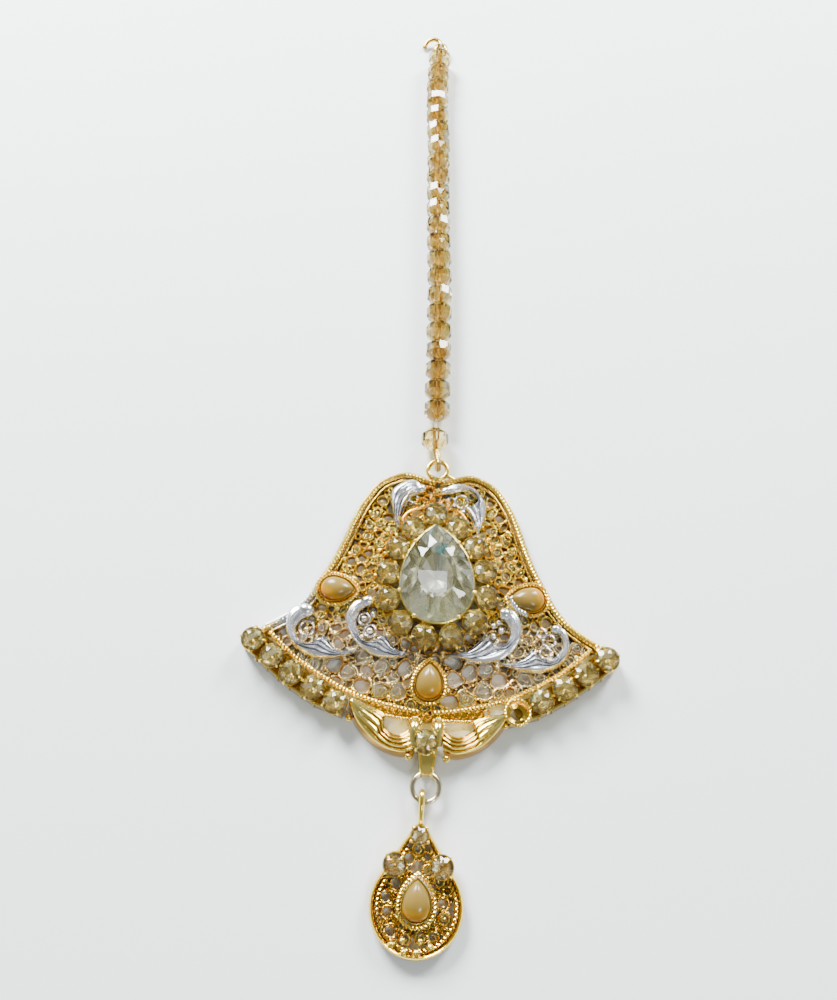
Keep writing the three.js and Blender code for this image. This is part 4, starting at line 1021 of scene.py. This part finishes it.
# Pear stone: the same facets as a round one, its rings a pear drawn in towards the middle of its round end
def pearStone(halfWidth, length, low, girdle, high, n, x, y, turn, table=0.56):
    outer = pearLine(halfWidth, length, 0.0, 2 * n)
    heart = np.array([0.0, pearCut["heart"] * length])
    under = girdle - pearCut["belt"]
    spokes = outer - heart
    crown = girdle + pearCut["middleUp"] * (high - girdle)
    mains = under - pearCut["mainsDown"] * (under - low)
    rings = [(heart + spokes[::2] * table, high), (heart + spokes[1::2] * pearCut["middleOut"], crown),
             (outer, girdle), (outer, under), (heart + spokes[1::2] * pearCut["mainsOut"], mains)]
    points = [lifted(ring, z) for ring, z in rings]
    points.append(np.array([[heart[0], heart[1] * 0.5, low]]))
    return turned(np.vstack(points), turn, x, y), stoneFaces(n)


stone = pearStone(cluster["halfWidth"] - 0.02, cluster["length"] - 0.05, crystalRise["low"],
                  crystalRise["girdle"], crystalRise["high"], 13, cluster["shift"], 0, cluster["turn"], 0.52)
makeStones("pear_crystal_cut", [stone], [crystalGlass, crystalFoil], "crystal_glass", ["pear_crystal"])
line = turned(pearLine(cluster["halfWidth"], cluster["length"], 0.02, 90), cluster["turn"], cluster["shift"])
seatProfile = [(0.05, 0.5), (-0.06, 3.0), (-0.06, 3.85), (0.12, 3.95), (0.3, 3.8), (0.9, 0.5)]
seat = [wall(line, seatProfile, True)]
for share in (0.11, 0.3, 0.42, 0.58, 0.7, 0.89):
    spot = line[int(share * len(line))]
    seat.append(copies(ballShape(3), [(spot[0], spot[1], 4.0)], 0.0, 0.33))
goldPiece("plaque_crystal_seat", seat, gold)


# Cabochon: pear rings that shrink as the cosine of a rising angle, over a short upright edge
def cabochonShape(count=40, rows=9):
    halfWidth, length, base, dome = (cabochon[key] for key in ("halfWidth", "length", "base", "dome"))
    angle = np.linspace(0, np.pi / 2 * 0.97, rows)
    rim = cabochonLine(0.0, count=count)
    heart = np.array([0.0, (length - 2 * halfWidth) / 2])
    rings = [lifted(rim, base)]
    rings += [lifted(heart + (rim - heart) * np.cos(a), base + cabochon["rim"] + dome * np.sin(a))
              for a in angle]
    ends = [endFaces(count, 0, True), endFaces(count, rows * count, False)]
    return np.vstack(rings), np.vstack([gridFaces(rows + 1, count), *ends])


bezel = {"wall": 0.15, "ropeRadius": 0.29, "ropeLay": 0.95, "ropeOut": 0.53, "ropeDown": 0.42}


# Bezel: a thin lip carried round the cabochon, and a twisted wire outside it
def bezelShapes(x, y, turn, high=2.2, low=0.7):
    profile = [(0.06, low), (-bezel["wall"], low), (-bezel["wall"], high - 0.25), (-0.1, high),
               (0.02, high - 0.02), (0.08, high - 0.3)]
    beads = rope(cabochonLine(bezel["ropeOut"], turn, x, y), bezel["ropeRadius"], bezel["ropeLay"],
                 high - bezel["ropeDown"], closed=True)
    return wall(cabochonLine(0.06, turn, x, y), profile, True), beads


for name, (x, y, turn) in cabochonPlaces.items():
    points, faces = cabochonShape()
    points = turned(points, turn, x, y)
    toward = {"left": (-0.55, -0.8), "right": (0.75, 0.1), "bottom": (0.3, -0.6)}[name]
    tone = (points[:, 0] - x) * toward[0] + (points[:, 1] - y) * toward[1]
    tone = 0.38 + tone / 2.4 + (2.3 - points[:, 2]) * 0.3
    makePiece("pear_cabochon_" + name + "_dome", [layer((points, faces))], [opal], "opal_glass",
              ["pear_cabochon_" + name], tone=tone, sharp=60)
    lip, beads = bezelShapes(x, y, turn)
    makePiece("plaque_bezel_" + name, [layer(lip), layer(beads, 1)], [goldOrange, gold], "gold_metal",
              ["plaque"])
print("stones made")

# Foot of the plaque: stone cup, grains, saddle bail and its ring
foot = {"x": 0.5, "ringY": -25.5, "ringRadius": 1.72, "ringWire": 0.36, "ringHigh": 1.36}
footCup = {"radius": 1.42, "low": 0.6, "girdle": 3.3, "turn": 0.7, "wallThick": 0.22}
footShapes = cupShapes(*nodeMiddle("bottom_stone")[0][:2], **footCup)
footShapes.append(copies(ballShape(4), [(-1.9, -21.9, 1.55), (2.9, -21.9, 1.55), (-9.9, -17.5, 1.2),
                                        (10.3, -17.3, 1.2)], 0.0, 0.5))
strapPath = np.array([(-20.9, 2.7), (-21.8, 2.75), (-22.8, 2.6), (-23.45, 2.3), (-24.0, 1.9), (-24.15, 1.36),
                      (-24.0, 0.8), (-23.4, 0.45), (-22.4, 0.35), (-21.6, 0.35)])
strapLine = evenLine(strapPath, count=26)
strapLine = np.column_stack([np.full(26, foot["x"]), strapLine])
strapHalf = np.interp(strapLine[:, 1], [-24.2, -23.4, -21.3], [0.7, 0.9, 1.2])
strapProfile = np.array([(-1, -0.14), (-1.02, 0.2), (-0.86, 0.3), (-0.66, 0.02), (0.66, 0.02), (0.86, 0.3),
                         (1.02, 0.2), (1, -0.14)])
profiles = strapProfile[None] * np.stack([strapHalf, np.ones(26)], 1)[:, None]
footShapes.append(sweep(strapLine, profiles * [-1, 1], side=(1, 0, 0)))
goldPiece("plaque_bail", footShapes, goldBright, sharp=40)


# Torus: a circle of the wire turned round a point at the radius of the ring
def torusShape(x, y, z, radius, wireRadius, segments=48, sides=12):
    angle = 2 * np.pi * np.arange(sides) / sides
    return turnedRing(x, y, rays(angle, wireRadius) + [radius, z], segments)


jumpRing = torusShape(foot["x"], foot["ringY"], foot["ringHigh"], foot["ringRadius"], foot["ringWire"])
makePiece("jump_ring_round", [layer(jumpRing)], [ringSteel], "silver_metal", ["jump_ring"])

# Top ring with its stub
topRing = {"x": -0.2, "y": 18.28, "z": 1.5, "radius": 1.42, "wire": 0.34}
topShapes = [torusShape(topRing["x"], topRing["y"], topRing["z"], topRing["radius"], topRing["wire"])]
topShapes.append(wire([(1.1, 17.6, 1.5), (1.7, 17.2, 1.5), (2.2, 17.0, 1.4)], 0.3, step=0.2))
topShapes.append(wire([(-0.9, 16.6, 1.2), (-0.2, 16.75, 1.35), (0.6, 16.6, 1.2)], 0.42, step=0.2))
goldPiece("plaque_top_ring", topShapes, gold)

# Drop
drop = {"x": 0.1, "y": -39.04, "radius": 5.68, "tip": 0.95, "height": 8.4}
dropSpot = [drop["x"], drop["y"]]


# Outline of the drop: a wide arc below and a narrow one above, joined by their common tangents
def dropLine(inset, count=120):
    big, small = drop["radius"] - inset, drop["tip"] - inset
    lean = math.asin((drop["radius"] - drop["tip"]) / drop["height"])
    wide = np.linspace(-np.pi - lean, lean, 70)
    narrow = np.linspace(lean, np.pi - lean, 14)
    bottom, top = rays(wide, big), rays(narrow, small) + [0, drop["height"]]
    right, left = np.linspace(bottom[-1], top[0], 30), np.linspace(top[-1], bottom[0], 30)
    line = np.vstack([bottom, right[1:-1], top, left[1:-1]])
    return evenLine(line + dropSpot, count=count, closed=True)


rimProfile = [(0.0, 0.0), (0.0, 1.15), (0.1, 1.46), (0.3, 1.62), (0.5, 1.48), (0.62, 1.15), (0.64, 0.0),
              (0.3, 0.0)]
goldPiece("drop_rim", [wall(dropLine(0.0), rimProfile, True)], goldBright, "drop_plate")
ropeLine = dropLine(0.93)
tipPart = np.flatnonzero(ropeLine[:, 1] > drop["y"] + 6.6)
ropeLine = np.roll(ropeLine, -tipPart[-1] - 1, axis=0)[: len(ropeLine) - len(tipPart)]
dropRopes = [rope(ropeLine, 0.3, 1.1, 1.25)]
lip, beads = bezelShapes(*dropSpot, 0, 2.15, 0.4)
dropRopes += [beads]
for side in (-1, 1):
    for x, y, radius in ((2.55, 0.6, 0.75), (2.9, -1.6, 0.72), (3.6, 1.9, 0.55), (2.0, -3.1, 0.62)):
        angle = np.linspace(0.4, 2 * np.pi - 0.4, 14)
        curlLine = (rays(angle, radius) + [x, y]) * [side, 1] + dropSpot
        dropRopes.append(rope(curlLine, 0.17, 0.6, 1.25, sides=4, steps=7))
makePiece("drop_ropes", [layer(merged(dropRopes)), layer(lip)], [goldRope], "gold_metal", ["drop_plate"])
dropAvoid = [(cabochonLine(0.55, 0, *dropSpot, 48), 0.1)]
dropAvoid.append((np.array([(-0.6, -43.5), (0.3, -43.5), (0.3, -42.0), (-0.6, -42.0)]), 0.1))
dropAvoid.append((np.array([(-0.5, -35.1), (0.6, -35.1), (0.6, -33.8), (-0.5, -33.8)]), 0.1))
dropField = {"inset": 1.1, "sizes": [0.72, 0.56, 0.44, 0.34], "tries": 700, "lap": 0.12, "wire": 0.13,
             "low": 0.2, "high": 1.15}
centres, radii = packedRings(dropLine(dropField["inset"]), dropAvoid, dropField["sizes"],
                             dropField["tries"], dropField["lap"], 3)
field = [ringField(centres, radii, dropField["wire"], dropField["low"], dropField["high"])]
field.append(copies(curl, lifted(centres[::2], 1.1), chance.uniform(0, 6.3, len(centres[::2])), radii[::2]))
dropGrains = np.array([(-1.3, -42.7, 1.35), (-2.6, -43.2, 1.3), (-1.1, -43.9, 1.3), (0.4, -43.9, 1.3),
                       (2.0, -43.2, 1.35), (0.8, -42.7, 1.35)])
field.append(copies(ballShape(3), dropGrains, 0.0, 0.45))
goldPiece("drop_openwork", field, openworkGold, "drop_plate")
cups = []
dropCup = {"low": 0.5, "girdle": 2.05, "turn": 0.8, "wallThick": 0.2}
for place, radius, claws in (("top", 1.02, 0), ("left", 1.32, 4), ("right", 1.32, 4)):
    cups += cupShapes(*nodeMiddle("drop_stone_" + place)[0][:2], radius, claws=claws, **dropCup)
tipGrains = np.array([(-0.8, 0.85), (0.8, 0.85), (-0.95, -0.7), (0.95, -0.7)])
tipGrains += nodeMiddle("drop_stone_top")[0][:2]
cups.append(copies(ballShape(3), lifted(tipGrains, 1.75), 0.0, 0.32))
loopPath = np.array([(-26.0, 1.36), (-26.3, 2.15), (-27.2, 2.35), (-28.3, 2.1), (-29.4, 1.4), (-29.9, 0.85),
                     (-29.2, 0.5), (-28.0, 0.42), (-27.2, 0.38), (-26.3, 0.55)])
loopPath = np.column_stack([np.full(len(loopPath), drop["x"]), loopPath])
cups.append(wire(loopPath, 0.36, closed=True, side=(1, 0, 0), step=0.2, sides=10))
goldPiece("drop_cups_and_loop", cups, gold, "drop_plate")
points, faces = cabochonShape()
points = turned(points, 0, drop["x"], drop["y"])
tone = 0.38 + (drop["y"] - points[:, 1]) / 2.6 + (2.3 - points[:, 2]) * 0.3
makePiece("drop_cabochon_dome", [layer((points, faces))], [opal], "opal_glass", ["drop_cabochon"], tone=tone,
          sharp=60)
print("drop made")

# String: beads, thread and the coiled loop, one piece
string = {
    "route": [(-0.2, 19.8), (-0.85, 23), (-0.8, 28), (-1.2, 42), (-1.6, 52), (-2.3, 62.5), (-2.85, 73.5),
              (-3.1, 80), (-3.7, 87), (-4.0, 94), (-3.95, 101), (-3.9, 104.5)],
    "beadRadius": 1.98, "beadLength": 3.38, "spacing": 0.08, "rowStart": 28.0, "looseRoom": 1.55,
    "beads": 22, "sides": 10, "thread": 0.2, "drill": 0.27, "drillHalf": 1.5, "gimp": 0.47, "gimpLay": 1.05,
}
route = evenLine(lifted(string["route"], string["beadRadius"]), step=0.1)
walk = walkOf(route)
pitch = string["beadLength"] + string["spacing"]
rowWalk = np.interp(string["rowStart"], route[:, 1], walk)
beadAt = np.append(rowWalk - pitch - string["looseRoom"], rowWalk + pitch * np.arange(string["beads"]))
beadMiddle = pointsAt(route, walk, beadAt)
beadAhead = pointsAt(route, walk, beadAt + 0.5) - beadMiddle


# Bead along Y: rings of corners, some turned half a facet so that the ends are cut in rhombs
def beadTemplate(sides, radius, length):
    rows = [(-0.5, 0.3, 0), (-0.42, 0.62, 0.5), (-0.2, 1.0, 0), (0.2, 1.0, 0), (0.42, 0.62, 0.5),
            (0.5, 0.3, 0)]
    rings = []
    for share, size, shift in rows:
        angle = 2 * np.pi * (np.arange(sides) + shift) / sides
        ring = rays(angle, radius * size)
        rings.append(np.column_stack([ring[:, 0], np.full(sides, share * length), ring[:, 1]]))
    i, k = np.arange(sides), (np.arange(sides) + 1) % sides
    triangles = []
    for row in range(5):
        low, high = row * sides, (row + 1) * sides
        a, b, c, d = low + i, low + k, high + k, high + i
        if rows[row][2] == rows[row + 1][2]:
            halves = [(a, b, c), (a, c, d)]
        elif rows[row][2] < rows[row + 1][2]:
            halves = [(a, b, d), (b, c, d)]
        else:
            halves = [(a, c, d), (a, b, c)]
        triangles += [np.stack(half, 1) for half in halves]
    caps = [np.stack([np.zeros(sides - 2, int), i[1:-1], i[2:]], 1) + start for start in (0, 5 * sides)]
    return np.vstack(rings), np.vstack(triangles + caps)


onePoints, oneFaces = beadTemplate(string["sides"], string["beadRadius"], string["beadLength"])
spin = chance.uniform(0, 6.3, len(beadAt))[:, None]
x, y, z = onePoints.T
along = np.broadcast_to(y, (len(spin), len(y)))
out, up = np.cos(spin) * x - np.sin(spin) * z, np.sin(spin) * x + np.cos(spin) * z
heading = np.arctan2(-beadAhead[:, 0], beadAhead[:, 1])[:, None]
beadPoints = np.stack([np.cos(heading) * out - np.sin(heading) * along,
                       np.sin(heading) * out + np.cos(heading) * along, up], -1)
beadPoints = (beadPoints + beadMiddle[:, None]).reshape(-1, 3)
beadFaces = (oneFaces[None] + (np.arange(len(spin)) * len(onePoints))[:, None, None]).reshape(-1, 3)


# Bead glass: honey body, its tint changing from facet to facet with the direction each faces, and so from
# bead to bead, which is painted light and shade
def beadFinish():
    finish = Finish("bead_glass", Transmission_Weight=1.0, IOR=1.56)
    cloud = finish.speckle(160, 2)
    tint = finish.ramp(finish.facet(0.12), (0.15, (0.36, 0.19, 0.015)), (0.4, (0.84, 0.56, 0.10)),
                       (0.6, (1.0, 0.88, 0.50)), (0.75, (0.94, 0.72, 0.50)), (0.9, (0.70, 0.58, 0.14)))
    return finish.shade(Base_Color=tint, Roughness=cloud * 0.02)


# Drill hole of a bead: dark and bright streaks
def drillFinish():
    finish = Finish("bead_drill_hole", Metallic=0.4)
    streak = finish.speckle(2500, 3)
    colour = finish.ramp(streak, (0.3, (0.08, 0.035, 0.004)), (0.7, (0.46, 0.30, 0.06)))
    return finish.shade(Base_Color=colour, Roughness=0.25 + streak * 0.2)


# Thread: clear, a little duller from fibre to fibre
def threadFinish():
    finish = Finish("thread", Transmission_Weight=0.5, IOR=1.45)
    fibre = finish.speckle(4000, 2)
    colour = finish.blend(fibre, (0.93, 0.9, 0.82), (0.8, 0.74, 0.6))
    return finish.shade(Base_Color=colour, Roughness=0.25 + fibre * 0.1)


beadGlass = beadFinish()
threadClear = threadFinish()
threadPart = route[(walk > beadAt[0] - 2.2) & (walk < beadAt[-1] + 2.4)][::6]
thread = sweep(threadPart, roundProfile(string["thread"], 8))
gimpPath = np.array([(-0.2, 18.72, 1.5), (-0.2, 18.95, 2.32), (-0.25, 19.8, 2.5), (-0.45, 20.7, 2.35),
                     (-0.62, 21.2, 1.98), (-0.45, 20.8, 1.5), (-0.25, 20.0, 0.75), (-0.2, 19.2, 0.55),
                     (-0.2, 18.8, 0.85)])
gimp = rope(gimpPath, string["gimp"], string["gimpLay"], closed=True, strands=3, side=(1, 0, 0))
holes = [sweep(route[np.abs(walk - at) < string["drillHalf"]][::5], roundProfile(string["drill"], 8))
         for at in beadAt]
eye = np.array([(-3.9, 104.3, 1.98), (-3.9, 105.2, 1.75), (-3.9, 105.6, 1.25), (-3.9, 105.4, 0.6),
                (-3.9, 104.9, 0.55), (-3.9, 104.5, 1.0)])
tieLoop = wire(eye, 0.18, closed=True, side=(1, 0, 0), step=0.15)
beadLayers = [layer((beadPoints, beadFaces), 0, False), layer(thread, 1), layer(tieLoop, 1), layer(gimp, 2),
              layer(merged(holes), 3)]
makePiece("bead_strand", beadLayers, [beadGlass, threadClear, goldPale, drillFinish()], "bead_glass",
          ["bead_string"])
print("string made")

# Hair hook: an eye and a crook in polished wire
middle, low, high = nodeMiddle("hair_hook")
hook = {"inset": 1.33, "high": 1.05, "eye": 0.95, "wire": 0.36, "end": 0.42}
eyeX, eyeY = high[0] - hook["inset"], low[1] + hook["inset"]
hookShapes = [torusShape(eyeX, eyeY, hook["high"], hook["eye"], hook["wire"], 36, 10)]
hookPath = [(eyeX, eyeY + 0.95, 1.05), (eyeX - 0.35, eyeY + 1.85, 1.1), (eyeX - 1.4, eyeY + 2.4, 1.05),
            (eyeX - 2.5, eyeY + 2.05, 0.8), (eyeX - 3.0, eyeY + 1.05, 0.45)]
hookShapes.append(wire(hookPath, hook["wire"], step=0.2))
hookShapes.append(copies(ballShape(4), [hookPath[-1]], 0.0, hook["end"]))
goldPiece("hair_hook_wire", hookShapes, goldPale, "hair_hook")

# Stage
floorMesh = bpy.data.meshes.new("floor")
floorCorners = [(-1.5, -1.5, -0.00002), (1.5, -1.5, -0.00002), (1.5, 1.5, -0.00002), (-1.5, 1.5, -0.00002)]
floorMesh.from_pydata(floorCorners, [], [(0, 1, 2, 3)])
floor = bpy.data.objects.new("floor", floorMesh)
bpy.context.collection.objects.link(floor)
floorFinish = Finish("floor_pale", Roughness=0.9)
floorFinish.shade(Base_Color=(0.87, 0.95, 0.945, 1))
floorMesh.materials.append(floorFinish.material)

# Studio room: darker towards the horizon, bright overhead
world = bpy.data.worlds.new("studio")
world.use_nodes = True
room = world.node_tree
height = room.nodes.new("ShaderNodeSeparateXYZ")
shade = room.nodes.new("ShaderNodeValToRGB")
steps = [(0.0, 0.4), (0.3, 0.62), (0.7, 0.5), (0.93, 0.32)]
while len(shade.color_ramp.elements) < len(steps):
    shade.color_ramp.elements.new(0.5)
for stop, (position, level) in zip(shade.color_ramp.elements, steps):
    stop.position = position
    stop.color = (level * 0.97, level * 0.99, level, 1)
room.links.new(room.nodes.new("ShaderNodeTexCoord").outputs["Generated"], height.inputs[0])
room.links.new(height.outputs["Z"], shade.inputs[0])
room.links.new(shade.outputs[0], room.nodes["Background"].inputs[0])
room.nodes["Background"].inputs[1].default_value = 0.75
bpy.context.scene.world = world


# Area light at a place, its -Z turned towards the point that it aims at
def softLight(name, place, aim, size, power):
    lamp = bpy.data.lights.new(name, "AREA")
    lamp.shape = "RECTANGLE"
    lamp.size, lamp.size_y = size
    lamp.energy = power
    holder = bpy.data.objects.new(name, lamp)
    holder.location = place
    away = np.array(place) - np.array(aim)
    holder.rotation_euler = Euler((math.atan2(math.hypot(away[0], away[1]), away[2]), 0,
                                   math.atan2(away[0], -away[1])))
    bpy.context.collection.objects.link(holder)


softLight("window", (-0.21, 0.37, 0.24), (0, 0.06, 0), (0.2, 0.18), 11.0)
softLight("window_right", (0.24, 0.37, 0.24), (0, 0.06, 0), (0.14, 0.16), 5.2)
softLight("near_side", (0.18, -0.26, 0.4), (0, 0, 0), (0.1, 0.06), 0.7)
softLight("ceiling", (-0.008, 0.147, 0.5), (-0.008, 0.147, 0), (0.036, 0.036), 0.05)

camera = bpy.data.cameras.new("camera")
camera.lens = 30.6
camera.sensor_width = 36
camera.sensor_fit = "AUTO"
camera.clip_start = 0.001
camera.clip_end = 10
holder = bpy.data.objects.new("camera", camera)
holder.location = (0.00009, -0.033965, 0.1134)
holder.rotation_euler = (math.radians(90 - 67), 0, math.radians(3.374))
bpy.context.collection.objects.link(holder)
bpy.context.scene.camera = holder
